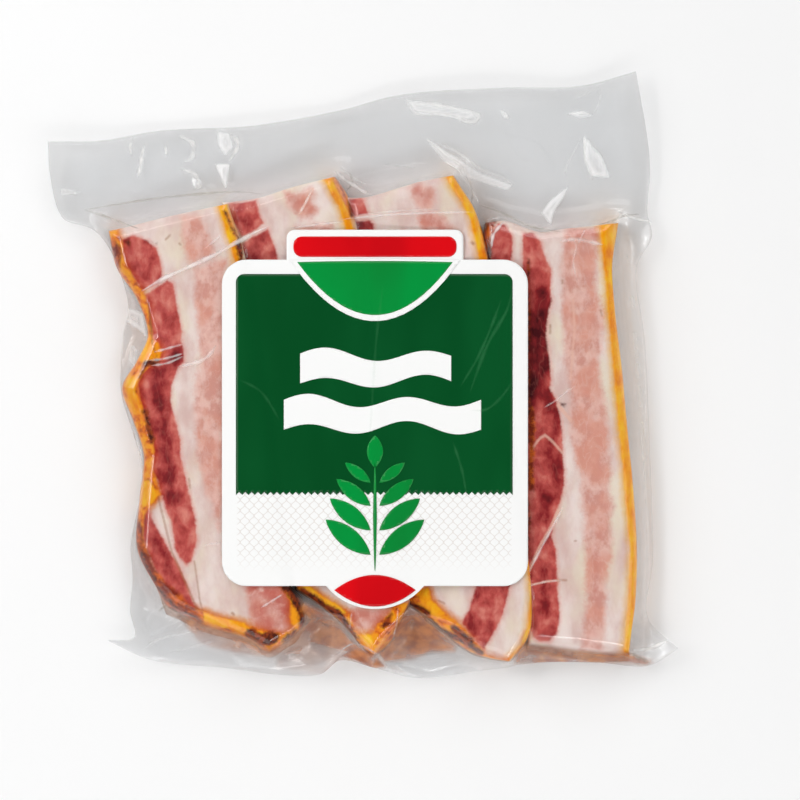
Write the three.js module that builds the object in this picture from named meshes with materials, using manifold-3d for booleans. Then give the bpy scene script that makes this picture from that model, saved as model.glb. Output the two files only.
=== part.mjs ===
// Vacuum pack of four thick bacon slabs. A sealed clear pouch is drawn tight over the slabs, and a
// printed label is stuck on its face. Sizes are millimetres. The pack lies on its back on z = 0, face
// up: +X is its right side and +Y its top edge. The origin is under the middle of the pack.
import * as THREE from "three";
import Module from "manifold-3d";
import { mergeVertices } from "three/addons/utils/BufferGeometryUtils.js";

// The pouch
const marginThickness = 0.8; // of the sealed border round the slabs
const seamHeight = 5; // where front and back film meet beside a slab
const lowestMargin = 2; // of the border's middle surface above the table
const skirt = 8; // how far the film slopes out from a slab before it lies flat
const shoulder = 2.2; // how far a slab's edge rounds down
const shoulderWidth = 4.5; // and how far in from the edge that begins
const cells = 44; // of the quilted mesh, each way

// The label
const labelCentre = { x: 4.5, y: -17.5 };
const labelWidth = 112.5;
const labelHeight = 120;
const labelCorner = 9;
const tabWidth = 65; // the raised tab in the middle of its top edge
const tabHeight = 11;
const tabCorner = 3;
const badgeWidth = 36; // the round badge that hangs below its bottom edge
const badgeDrop = 8.5;
const labelThickness = 0.5;
const labelGap = 0.3; // clear of the film under it
const labelBand = 5; // how far round the label the film is held flatter by it
const faceUnderLabel = 15; // mean height of the film that the label holds
const reliefUnderLabel = 0.3; // share of the slabs' steps that still shows through it

// The four edges of the pouch, as points of its border's middle surface: x, y and height above the table.
// The border is limp, so its outline waves, its corners lift and its bottom edge folds once on itself.
const topEdge = [
  [-116.5, 86.5, 9], [-97.5, 87, 6], [-75, 91, 3.5], [-42, 92.5, 5], [-8.5, 98.5, 3.5],
  [13.5, 104, 5], [50.5, 106.5, 6.5], [80.5, 107.5, 4], [101, 112.5, 8],
];
const bottomEdge = [
  [-94.5, -98, 8], [-79, -105.5, 4], [-53, -108.5, 3], [-16.5, -111, 5], [-8.5, -105.5, 7.5],
  [4.5, -108.5, 6], [21, -112.5, 2.5], [43.5, -109.5, 3.5], [65.5, -106.5, 5], [87.5, -106.5, 5],
  [106, -107.5, 6], [116.5, -101, 9],
];
const leftEdge = [
  [-94.5, -98, 8], [-85, -97, 5], [-86.5, -87.5, 4], [-85.5, -75.5, 5], [-86, -62.5, 6],
  [-81.5, -37, 5], [-89.5, -5.5, 6], [-89, 15, 5], [-87, 25, 7], [-92.5, 44.5, 6], [-100, 54, 5],
  [-111.5, 58.5, 4], [-116, 74, 6], [-116.5, 86.5, 9],
];
const rightEdge = [
  [116.5, -101, 9], [105.5, -89.5, 5], [107.5, -68.5, 5], [106.5, -31.5, 6], [104.5, 13, 5], [101.5, 40, 6],
  [107, 51.5, 7], [105.5, 60.5, 4], [106.5, 76, 5], [105.5, 87, 6], [101, 112.5, 8],
];

// The slabs from left to right. Each side is x at some y, each end is y at some x. A slab leans on its
// right neighbour, so its right side stands higher: faceHeights are its left and right side above the table.
const slabs = [
  {
    left: [[53, -93.5], [40, -90.5], [28.5, -83], [15, -79], [5.5, -83], [-4.5, -88.5], [-16.5, -84.5],
      [-29.5, -80.5], [-46, -82], [-64, -83], [-77.5, -76.5], [-86, -69], [-91, -58.5]],
    right: [[63, -50], [43.5, -43.5], [-9, -36], [-79.5, -27], [-90.5, -22], [-96, -27]],
    top: [[-93.5, 53], [-71.5, 58.5], [-50, 63.5]],
    bottom: [[-73.5, -83], [-60.5, -90.5], [-42, -97], [-34.5, -101], [-22, -92.5]],
    faceHeights: [13, 17],
  },
  {
    left: [[65, -51.5], [43.5, -45.5], [-9, -39], [-78.5, -25], [-90.5, -10.5], [-102.5, 2]],
    right: [[72.5, -11.5], [63, -6.5], [53, -2], [-9, 7], [-83, 18], [-98, 10.5], [-102.5, 5]],
    top: [[-51.5, 62.5], [-38, 65.5], [-27, 69], [-10.5, 73]],
    bottom: [[-25, -79.5], [-8.5, -89.5], [3.5, -102.5], [18, -84]],
    faceHeights: [12.5, 16.5],
  },
  {
    left: [[65.5, -6.5], [53, -4], [-9, 4.5], [-82.5, 16.5], [-94, 28.5], [-103.5, 45]],
    right: [[73.5, 33], [62, 40.5], [43.5, 46], [-9, 53], [-79.5, 61.5], [-92.5, 62], [-101.5, 56.5],
      [-105.5, 53.5]],
    top: [[-6.5, 65], [13.5, 69.5], [34, 74]],
    bottom: [[16.5, -83], [32, -95.5], [45, -103.5], [53.5, -105.5], [62, -94]],
    faceHeights: [12.5, 17],
  },
  {
    left: [[57, 45], [43.5, 44], [-9, 50.5], [-83, 59.5], [-98.5, 61.5]],
    right: [[57, 92.5], [42, 92], [20.5, 93], [-9, 96], [-35, 99], [-68.5, 100.5], [-87, 100],
      [-101.5, 98]],
    top: [[45, 59], [52.5, 56], [65.5, 53], [87, 55.5], [93, 57]],
    bottom: [[61.5, -98.5], [80.5, -100], [98, -102.5]],
    faceHeights: [13, 14.5],
  },
];

const share = (value, from, to) => THREE.MathUtils.clamp((value - from) / (to - from), 0, 1);
const eased = (value, from, to) => THREE.MathUtils.smoothstep(value, from, to);
const mixed = THREE.MathUtils.lerp;

// The second number of a row of pairs, read at a value of the first.
function read(pairs, at) {
  const rising = pairs[0][0] < pairs[pairs.length - 1][0] ? pairs : [...pairs].reverse();
  const next = rising.findIndex(([key]) => key >= at);
  if (next === 0) return rising[0][1];
  if (next < 0) return rising[rising.length - 1][1];
  const [before, after] = [rising[next - 1], rising[next]];
  return mixed(before[1], after[1], share(at, before[0], after[0]));
}

// How far a point is inside a slab's outline, and the height of the slab's face there.
function under(slab, x, y) {
  const left = read(slab.left, y);
  const right = read(slab.right, y);
  const inside = Math.min(x - left, right - x, read(slab.top, x) - y, y - read(slab.bottom, x));
  const [low, high] = slab.faceHeights;
  return { inside, face: mixed(low, high, share(x, left, right)) };
}

// The film over one slab: its face, a rounded shoulder, and a hollow slope down to the seam.
function filmOver({ inside, face }) {
  if (inside >= 0) return face - shoulder * Math.max(0, 1 - inside / shoulderWidth) ** 2;
  return mixed(seamHeight, face - shoulder, Math.max(0, 1 + inside / skirt) ** 2);
}

// How far a point lies inside the label, leaving out its tab and its badge.
function insideLabel(x, y) {
  const across = labelWidth / 2 - Math.abs(x - labelCentre.x);
  return Math.min(across, labelHeight / 2 - Math.abs(y - labelCentre.y));
}

// Heights of the pouch's front and back at a point, where the border alone would lie at flat.
function pouchHeights(x, y, flat) {
  const margin = Math.max(lowestMargin, flat);
  const found = slabs.map((slab) => under(slab, x, y));
  const inside = Math.max(...found.map((one) => one.inside));
  const drape = Math.max(...found.map(filmOver));
  const held = faceUnderLabel + reliefUnderLabel * (drape - faceUnderLabel);
  const taut = mixed(drape, held, eased(insideLabel(x, y), -labelBand, labelBand));
  const away = eased(-inside, 0, skirt);
  const border = mixed(seamHeight, margin, eased(-inside, 0, 2 * skirt));
  return {
    front: Math.max(border, mixed(taut, border, away ** 3)) + marginThickness / 2,
    back: Math.max(0, (border - marginThickness / 2) * away),
  };
}

// A point of the sheet that spans the four edges: across from left to right, along from bottom to top.
const curves = Object.fromEntries(
  Object.entries({ topEdge, bottomEdge, leftEdge, rightEdge }).map(([name, points]) => [
    name,
    new THREE.CatmullRomCurve3(points.map((point) => new THREE.Vector3(...point))),
  ]),
);
function borderPoint(across, along) {
  const bottom = curves.bottomEdge.getPointAt(across);
  const top = curves.topEdge.getPointAt(across);
  const left = curves.leftEdge.getPointAt(along);
  const right = curves.rightEdge.getPointAt(along);
  const corners = new THREE.Vector3()
    .addScaledVector(curves.bottomEdge.getPointAt(0), (1 - across) * (1 - along))
    .addScaledVector(curves.bottomEdge.getPointAt(1), across * (1 - along))
    .addScaledVector(curves.topEdge.getPointAt(0), (1 - across) * along)
    .addScaledVector(curves.topEdge.getPointAt(1), across * along);
  return bottom
    .multiplyScalar(1 - along)
    .addScaledVector(top, along)
    .addScaledVector(left, 1 - across)
    .addScaledVector(right, across)
    .sub(corners);
}

// The whole pouch: a front and a back sheet on the same grid, joined round the rim.
function pouchGeometry() {
  const side = cells + 1;
  const front = [];
  const back = [];
  for (let row = 0; row < side; row++) {
    for (let column = 0; column < side; column++) {
      const at = borderPoint(column / cells, row / cells);
      const heights = pouchHeights(at.x, at.y, at.z);
      front.push(at.x, at.y, heights.front);
      back.push(at.x, at.y, heights.back);
    }
  }
  const faces = [];
  const quad = (a, b, c, d) => faces.push(a, b, c, a, c, d);
  const lower = side * side; // a back vertex's number is its front vertex's plus this
  for (let row = 0; row < cells; row++) {
    for (let column = 0; column < cells; column++) {
      const at = row * side + column;
      quad(at, at + 1, at + side + 1, at + side);
      quad(lower + at, lower + at + side, lower + at + side + 1, lower + at + 1);
    }
  }
  const rim = (a, b) => quad(a, lower + a, lower + b, b);
  for (let i = 0; i < cells; i++) {
    rim(i, i + 1);
    rim(i * side + cells, (i + 1) * side + cells);
    rim(cells * side + i + 1, cells * side + i);
    rim((i + 1) * side, i * side);
  }
  const geometry = new THREE.BufferGeometry();
  geometry.setAttribute("position", new THREE.Float32BufferAttribute([...front, ...back], 3));
  geometry.setIndex(faces);
  return geometry;
}

// The label's outline: a rounded rectangle, with a tab on its top edge and a round badge below its
// bottom edge.
function labelOutline() {
  const [right, top] = [labelWidth / 2, labelHeight / 2];
  const r = labelCorner;
  const outline = new THREE.Shape();
  outline.moveTo(-right, -top + r);
  outline.absarc(-right + r, -top + r, r, Math.PI, 1.5 * Math.PI);
  // The badge is the arc through the two ends of its width and its lowest point.
  const badgeRadius = ((badgeWidth / 2) ** 2 + badgeDrop ** 2) / (2 * badgeDrop);
  const badgeCentre = -top - badgeDrop + badgeRadius;
  const half = Math.asin(badgeWidth / 2 / badgeRadius);
  outline.absarc(0, badgeCentre, badgeRadius, 1.5 * Math.PI - half, 1.5 * Math.PI + half);
  outline.absarc(right - r, -top + r, r, 1.5 * Math.PI, 2 * Math.PI);
  outline.absarc(right - r, top - r, r, 0, Math.PI / 2);
  outline.lineTo(tabWidth / 2, top);
  outline.absarc(tabWidth / 2 - tabCorner, top + tabHeight - tabCorner, tabCorner, 0, Math.PI / 2);
  outline.absarc(-tabWidth / 2 + tabCorner, top + tabHeight - tabCorner, tabCorner, Math.PI / 2, Math.PI);
  outline.lineTo(-tabWidth / 2, top);
  outline.absarc(-right + r, top - r, r, Math.PI / 2, Math.PI);
  return outline;
}

const wasm = await Module();
wasm.setup();

function solid(geometry) {
  const bare = geometry.clone();
  bare.deleteAttribute("normal");
  bare.deleteAttribute("uv");
  const merged = mergeVertices(bare, 1e-4);
  return new wasm.Manifold(
    new wasm.Mesh({
      numProp: 3,
      vertProperties: merged.attributes.position.array,
      triVerts: new Uint32Array(merged.index.array),
    }),
  );
}

function geometryOf(manifold) {
  const mesh = manifold.getMesh();
  const geometry = new THREE.BufferGeometry();
  geometry.setAttribute("position", new THREE.BufferAttribute(mesh.vertProperties, 3));
  geometry.setIndex(new THREE.BufferAttribute(mesh.triVerts, 1));
  geometry.computeVertexNormals();
  return geometry;
}

// The label is the skin between two copies of the pouch's front, cut to the outline.
function labelSolid(pouch) {
  const tall = 60; // the cutter stands clear of the pouch above and below
  const extrusion = { depth: tall, bevelEnabled: false, curveSegments: 8 };
  const cutter = new THREE.ExtrudeGeometry(labelOutline(), extrusion);
  cutter.translate(labelCentre.x, labelCentre.y, -tall / 4);
  const copy = (up) => solid(pouch.clone().translate(0, 0, up));
  return copy(labelGap + labelThickness).intersect(solid(cutter)).subtract(copy(labelGap));
}

function piece(name, geometry, finish) {
  const mesh = new THREE.Mesh(geometry, new THREE.MeshStandardMaterial(finish));
  mesh.name = name;
  return mesh;
}

const pouch = pouchGeometry();
pouch.computeVertexNormals();
const pack = new THREE.Group();
pack.add(
  piece("pouch", pouch, { color: 0xdba79c, roughness: 0.2, metalness: 0 }),
  piece("label", geometryOf(labelSolid(pouch)), { color: 0x0a5a2c, roughness: 0.35, metalness: 0 }),
);

export default pack;
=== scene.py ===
# A vacuum pack of smoked bacon: slabs sealed in a clear film bag, with a printed label on its face.
import math
import bpy
import bmesh
import numpy as np
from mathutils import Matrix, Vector, noise
from mathutils.bvhtree import BVHTree


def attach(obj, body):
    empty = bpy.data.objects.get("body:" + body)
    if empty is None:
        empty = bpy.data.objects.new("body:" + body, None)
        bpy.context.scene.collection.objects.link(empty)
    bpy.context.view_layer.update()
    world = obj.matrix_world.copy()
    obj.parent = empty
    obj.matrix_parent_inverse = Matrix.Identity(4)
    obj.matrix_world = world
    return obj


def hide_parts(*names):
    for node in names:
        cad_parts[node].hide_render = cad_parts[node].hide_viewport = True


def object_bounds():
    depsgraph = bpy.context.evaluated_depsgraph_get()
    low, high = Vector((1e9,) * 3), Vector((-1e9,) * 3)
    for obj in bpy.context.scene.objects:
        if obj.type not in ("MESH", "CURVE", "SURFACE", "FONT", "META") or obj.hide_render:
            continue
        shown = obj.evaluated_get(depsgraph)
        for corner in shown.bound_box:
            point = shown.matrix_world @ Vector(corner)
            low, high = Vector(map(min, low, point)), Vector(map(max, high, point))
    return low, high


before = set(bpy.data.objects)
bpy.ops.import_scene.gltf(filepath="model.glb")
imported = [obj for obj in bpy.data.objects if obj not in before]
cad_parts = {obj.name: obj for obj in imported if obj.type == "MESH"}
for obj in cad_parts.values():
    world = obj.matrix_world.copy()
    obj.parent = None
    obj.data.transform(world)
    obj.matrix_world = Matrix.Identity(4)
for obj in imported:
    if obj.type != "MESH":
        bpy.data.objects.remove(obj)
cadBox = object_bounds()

mm = 0.001  # the measures below are in millimetres, and Blender's unit is the metre
farAway = 1e9  # a distance past everything
tiny = 1e-9  # keeps a length of nothing out of a division

# The pouch, the label and the slabs as measured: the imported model's forms, under a flatter label.

pouchShape = {
    "seamHeight": 5,  # where front and back film meet beside a slab
    "lowestMargin": 2,  # of the border above the table
    "lowestFront": 0.4, "lowestBack": 0.1,  # of either film above the table
    "skirt": 8,  # how far the film slopes out from a slab
    "shoulder": 2.2, "shoulderWidth": 4.5,  # how the film rounds a slab's upper edge
    "thickness": 0.3,  # between the front and back film in the border
    # each edge as points of x, y and height
    "top": [[-116.5, 86.5, 9], [-97.5, 87, 6], [-75, 91, 3.5], [-42, 92.5, 5], [-8.5, 98.5, 3.5],
            [13.5, 104, 5], [50.5, 106.5, 6.5], [80.5, 107.5, 4], [101, 112.5, 8]],
    "bottom": [[-94.5, -98, 8], [-79, -105.5, 4], [-53, -108.5, 3], [-16.5, -111, 5], [-8.5, -105.5, 7.5],
               [4.5, -108.5, 6], [21, -112.5, 2.5], [43.5, -109.5, 3.5], [65.5, -106.5, 5],
               [87.5, -106.5, 5], [106, -107.5, 6], [116.5, -101, 9]],
    "left": [[-94.5, -98, 8], [-85, -97, 5], [-86.5, -87.5, 4], [-85.5, -75.5, 5], [-86, -62.5, 6],
             [-81.5, -37, 5], [-89.5, -5.5, 6], [-89, 15, 5], [-87, 25, 7], [-92.5, 44.5, 6], [-100, 54, 5],
             [-111.5, 58.5, 4], [-116, 74, 6], [-116.5, 86.5, 9]],
    "right": [[116.5, -101, 9], [105.5, -89.5, 5], [107.5, -68.5, 5], [106.5, -31.5, 6], [104.5, 13, 5],
              [101.5, 40, 6], [107, 51.5, 7], [105.5, 60.5, 4], [106.5, 76, 5], [105.5, 87, 6],
              [101, 112.5, 8]],
}
labelShape = {
    "centre": (4.5, -17.5), "width": 112.5, "height": 120, "corner": 9,
    "tabWidth": 65, "tabHeight": 11, "tabCorner": 3, "badgeWidth": 36, "badgeDrop": 8.5,
    "lift": 0.3,  # of its underside above the film
    "thickness": 0.25,
    "faceUnder": 15,  # the height it holds the film to
    "reliefUnder": 0.12,  # the share of the film's relief that stays there
    "band": 7,  # how far inside its edge it holds the film fully
}
# Each slab's sides as y and x, its ends as x and y, and the heights of its face on the left and right.
slabShapes = [
    {
        "left": [[53, -93.5], [40, -90.5], [28.5, -83], [15, -79], [5.5, -83], [-4.5, -88.5],
                 [-16.5, -84.5], [-29.5, -80.5], [-46, -82], [-64, -83], [-77.5, -76.5], [-86, -69],
                 [-91, -58.5]],
        "right": [[63, -50], [43.5, -43.5], [-9, -36], [-79.5, -27], [-90.5, -22], [-96, -27]],
        "top": [[-93.5, 53], [-71.5, 58.5], [-50, 63.5]],
        "bottom": [[-73.5, -83], [-60.5, -90.5], [-42, -97], [-34.5, -101], [-22, -92.5]],
        "faces": [13, 17],
    },
    {
        "left": [[65, -51.5], [43.5, -45.5], [-9, -39], [-78.5, -25], [-90.5, -10.5], [-102.5, 2]],
        "right": [[72.5, -11.5], [63, -6.5], [53, -2], [-9, 7], [-83, 18], [-98, 10.5], [-102.5, 5]],
        "top": [[-51.5, 62.5], [-38, 65.5], [-27, 69], [-10.5, 73]],
        "bottom": [[-25, -79.5], [-8.5, -89.5], [3.5, -102.5], [18, -84]],
        "faces": [12.5, 16.5],
    },
    {
        "left": [[65.5, -6.5], [53, -4], [-9, 4.5], [-82.5, 16.5], [-94, 28.5], [-103.5, 45]],
        "right": [[73.5, 33], [62, 40.5], [43.5, 46], [-9, 53], [-79.5, 61.5], [-92.5, 62], [-101.5, 56.5],
                  [-105.5, 53.5]],
        "top": [[-6.5, 65], [13.5, 69.5], [34, 74]],
        "bottom": [[16.5, -83], [32, -95.5], [45, -103.5], [53.5, -105.5], [62, -94]],
        "faces": [12.5, 17],
    },
    {
        "left": [[57, 45], [43.5, 44], [-9, 50.5], [-83, 59.5], [-98.5, 61.5]],
        "right": [[57, 92.5], [42, 92], [20.5, 93], [-9, 96], [-35, 99], [-68.5, 100.5], [-87, 100],
                  [-101.5, 98]],
        "top": [[45, 59], [52.5, 56], [65.5, 53], [87, 55.5], [93, 57]],
        "bottom": [[61.5, -98.5], [80.5, -100], [98, -102.5]],
        "faces": [13, 14.5],
    },
]


def smoothCurve(knots, steps=16):  # an even spline, with the share of its length at each point
    p = np.array(knots, float)
    p = np.vstack([2 * p[0] - p[1], p, 2 * p[-1] - p[-2]])
    points = []
    for a, b, c, d in zip(p, p[1:], p[2:], p[3:]):
        g = [max(np.linalg.norm(r - q), 1e-6) ** 0.5 for q, r in ((a, b), (b, c), (c, d))]
        start = ((b - a) / g[0] - (c - a) / (g[0] + g[1]) + (c - b) / g[1]) * g[1]
        end = ((c - b) / g[1] - (d - b) / (g[1] + g[2]) + (d - c) / g[2]) * g[1]
        square, cube = 3 * (c - b) - 2 * start - end, 2 * (b - c) + start + end
        for t in np.arange(steps) / steps:
            points.append(b + start * t + square * t ** 2 + cube * t ** 3)
    points = np.array(points + [p[-2]])
    run = np.concatenate([[0], np.cumsum(np.linalg.norm(np.diff(points, axis=0), axis=1))])
    return points, run / run[-1]


def onCurve(curve, share):
    return np.stack([np.interp(share, curve[1], curve[0][:, k]) for k in range(curve[0].shape[1])], -1)


def patch(edges, u, v):  # the sheet that spans four curves: u runs left to right and v bottom to top
    bottom, top, left, right = (edges[side] for side in ("bottom", "top", "left", "right"))
    a, b = u[:, None], v[:, None]
    low, high = bottom[0][[0, -1]], top[0][[0, -1]]
    corners = (1 - b) * ((1 - a) * low[0] + a * low[1]) + b * ((1 - a) * high[0] + a * high[1])
    across = (1 - b) * onCurve(bottom, u) + b * onCurve(top, u)
    along = (1 - a) * onCurve(left, v) + a * onCurve(right, v)
    return across + along - corners


def readPairs(pairs, at):  # the second numbers of the pairs, read between their first
    rising = sorted(pairs)
    return np.interp(at, [p[0] for p in rising], [p[1] for p in rising])


def ease(value, low, high):  # 0 at low to 1 at high, level at both ends
    t = np.clip((value - low) / (high - low), 0, 1)
    return t * t * (3 - 2 * t)


def slabUnder(shape, x, y):  # how far inside a slab's outline, and its face's height
    left, right = readPairs(shape["left"], y), readPairs(shape["right"], y)
    above, below = readPairs(shape["top"], x) - y, y - readPairs(shape["bottom"], x)
    low, high = shape["faces"]
    face = low + (high - low) * np.clip((x - left) / (right - left), 0, 1)
    return np.minimum.reduce([x - left, right - x, above, below]), face


def outsideLabel(x, y):  # how far a point is outside the label, with the tab's reach below as well as above
    shape = labelShape
    cx, cy = shape["centre"]
    dx, dy = abs(x - cx), abs(y - cy) - shape["height"] / 2
    body = np.maximum(dx - shape["width"] / 2, dy)
    tab = np.maximum(dx - shape["tabWidth"] / 2, dy - shape["tabHeight"])
    return np.minimum(body, tab)


def filmHeights(x, y, flat=pouchShape["seamHeight"]):  # of front and back film, for a border at flat
    shape, label = pouchShape, labelShape
    margin = np.maximum(shape["lowestMargin"], flat)
    inside, drape = np.full(x.shape, -farAway), np.full(x.shape, -farAway)
    for slab in slabShapes:
        depth, face = slabUnder(slab, x, y)
        rounded = face - shape["shoulder"] * np.clip(1 - depth / shape["shoulderWidth"], 0, 1) ** 2
        slope = np.clip(1 + depth / shape["skirt"], 0, 1) ** 2
        tent = shape["seamHeight"] + (face - shape["shoulder"] - shape["seamHeight"]) * slope
        inside = np.maximum(inside, depth)
        drape = np.maximum(drape, np.where(depth >= 0, rounded, tent))
    held = label["faceUnder"] + label["reliefUnder"] * (drape - label["faceUnder"])
    taut = drape + (held - drape) * ease(-outsideLabel(x, y), -label["band"], 1)
    away = ease(-inside, 0, shape["skirt"])
    border = shape["seamHeight"] + (margin - shape["seamHeight"]) * ease(-inside, 0, 2 * shape["skirt"])
    front = np.maximum(border, taut + (border - taut) * away ** 3) + shape["thickness"] / 2
    back = np.maximum(shape["lowestBack"], (border - shape["thickness"] / 2) * away)
    return front, back, away


pouchEdges = {side: smoothCurve(pouchShape[side]) for side in ("top", "bottom", "left", "right")}


def nearLine(x, y, line):  # distance to a broken line
    best = np.full(x.shape, farAway)
    for (ax, ay), (bx, by) in zip(line, line[1:]):
        dx, dy = bx - ax, by - ay
        t = np.clip(((x - ax) * dx + (y - ay) * dy) / max(dx * dx + dy * dy, tiny), 0, 1)
        best = np.minimum(best, np.hypot(x - ax - t * dx, y - ay - t * dy))
    return best


def insideOutline(x, y, outline):  # how far inside a closed outline, less than nothing outside it
    ring = outline + outline[:1]
    within = np.zeros(x.shape, bool)
    for (ax, ay), (bx, by) in zip(ring, ring[1:]):
        if ay != by:
            within ^= ((ay > y) != (by > y)) & (x < ax + (y - ay) / (by - ay) * (bx - ax))
    gap = nearLine(x, y, ring)
    return np.where(within, gap, -gap)


def ripple(x, y, size, seed):  # smooth noise, about -1 to 1, with waves of that size
    return np.array([noise.noise(Vector((a / size, b / size, seed))) for a, b in zip(x, y)])


def readPoints(verts):
    return np.array([v.co for v in verts])


def placePoints(verts, x, y, z):
    for vert, place in zip(verts, np.stack([x, y, z], -1) * mm):
        vert.co = place


def wrappedGrid(across, along, rings):  # a grid closed round its back by rings, each with a size and a level
    bm = bmesh.new()
    bmesh.ops.create_grid(bm, x_segments=across, y_segments=along, size=1)
    for size, level in rings:
        grown = bmesh.ops.extrude_edge_only(bm, edges=[e for e in bm.edges if e.is_boundary])["geom"]
        for vert in (g for g in grown if isinstance(g, bmesh.types.BMVert)):
            scale = size / max(abs(vert.co.x), abs(vert.co.y))
            vert.co = (vert.co.x * scale, vert.co.y * scale, level)
    bmesh.ops.holes_fill(bm, edges=[e for e in bm.edges if e.is_boundary], sides=0)
    return bm


def addMesh(name, bm, material):
    mesh = bpy.data.meshes.new(name)
    bm.to_mesh(mesh)
    bm.free()
    mesh.materials.append(material)
    made = bpy.data.objects.new(name, mesh)
    bpy.context.scene.collection.objects.link(made)
    return made


def addPiece(name, bm, material, replaced, values=None):  # values are kept as the points' attributes
    piece = addMesh(name, bm, material)
    for key, numbers in (values or {}).items():
        kept = piece.data.attributes.new(key, "FLOAT", "POINT")
        kept.data.foreach_set("value", np.asarray(numbers, np.float32))
    for polygon in piece.data.polygons:
        polygon.use_smooth = True
    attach(piece, "root")
    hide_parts(replaced)
    return piece


def rgb(red, green, blue):  # a colour as a screen shows it, 0 to 255, made linear
    def linear(value):
        value /= 255
        return value / 12.92 if value <= 0.04045 else ((value + 0.055) / 1.055) ** 2.4
    return (linear(red), linear(green), linear(blue), 1)


def newMaterial(name):
    material = bpy.data.materials.new(name)
    material.use_nodes = True
    material.node_tree.nodes.clear()
    return material, material.node_tree


def addNode(tree, kind, inputs=None, **settings):
    made = tree.nodes.new(kind)
    for key, value in settings.items():
        setattr(made, key, value)
    for key, value in (inputs or {}).items():
        if isinstance(value, bpy.types.NodeSocket):
            tree.links.new(value, made.inputs[key])
        else:
            made.inputs[key].default_value = value
    return made


def calc(tree, operation, *values):
    return addNode(tree, "ShaderNodeMath", dict(enumerate(values)), operation=operation).outputs[0]


def product(tree, first, second):
    return calc(tree, "MULTIPLY", first, second)


def total(tree, first, second):
    return calc(tree, "ADD", first, second)


def fade(tree, value, low, high, start=0, end=1):
    inputs = {0: value, 1: low, 2: high, 3: start, 4: end}
    return addNode(tree, "ShaderNodeMapRange", inputs, interpolation_type="SMOOTHSTEP").outputs[0]


def mixed(tree, share, first, second, how="MIX"):
    inputs = {0: share, 6: first, 7: second}
    return addNode(tree, "ShaderNodeMix", inputs, data_type="RGBA", blend_type=how).outputs[2]


def stored(tree, name):
    return addNode(tree, "ShaderNodeAttribute", attribute_name=name).outputs["Fac"]


def clouds(tree, size, detail=3, rough=0.5, stretch=(1, 1, 1), twist=0):  # noise, its blotches so many mm
    place = addNode(tree, "ShaderNodeTexCoord").outputs["Object"]
    if stretch != (1, 1, 1):
        place = addNode(tree, "ShaderNodeMapping", {0: place, 3: tuple(1 / s for s in stretch)}).outputs[0]
    return addNode(tree, "ShaderNodeTexNoise", {
        "Vector": place, "Scale": 1 / (size * mm), "Detail": detail, "Roughness": rough, "Distortion": twist,
    }).outputs["Fac"]


def patches(tree, pattern, start=0, end=1):  # noise, start below the pattern's levels and end above
    size, detail, rough, stretch, low, high = pattern
    return fade(tree, clouds(tree, size, detail, rough, stretch), low, high, start, end)


def ramp(tree, value, stops):
    made = addNode(tree, "ShaderNodeValToRGB", {0: value})
    while len(made.color_ramp.elements) < len(stops):
        made.color_ramp.elements.new(0.5)
    for element, (place, colour) in zip(made.color_ramp.elements, stops):
        element.position, element.color = place, colour
    return made.outputs[0]


def bumped(tree, height, strength, depth):  # a normal roughened by a height, its depth in mm
    inputs = {"Strength": strength, "Distance": depth * mm, "Height": height}
    return addNode(tree, "ShaderNodeBump", inputs).outputs[0]


def diffuse(tree, colour):
    return addNode(tree, "ShaderNodeBsdfDiffuse", {0: colour}).outputs[0]


def seeThrough(tree, colour):
    return addNode(tree, "ShaderNodeBsdfTransparent", {0: colour}).outputs[0]


def principled(tree, inputs):
    return addNode(tree, "ShaderNodeBsdfPrincipled", inputs).outputs[0]


def blended(tree, share, first, second):
    return addNode(tree, "ShaderNodeMixShader", {0: share, 1: first, 2: second}).outputs[0]


def finishMaterial(tree, shader):
    addNode(tree, "ShaderNodeOutputMaterial", {0: shader})


print("stage: helpers ready")

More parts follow.
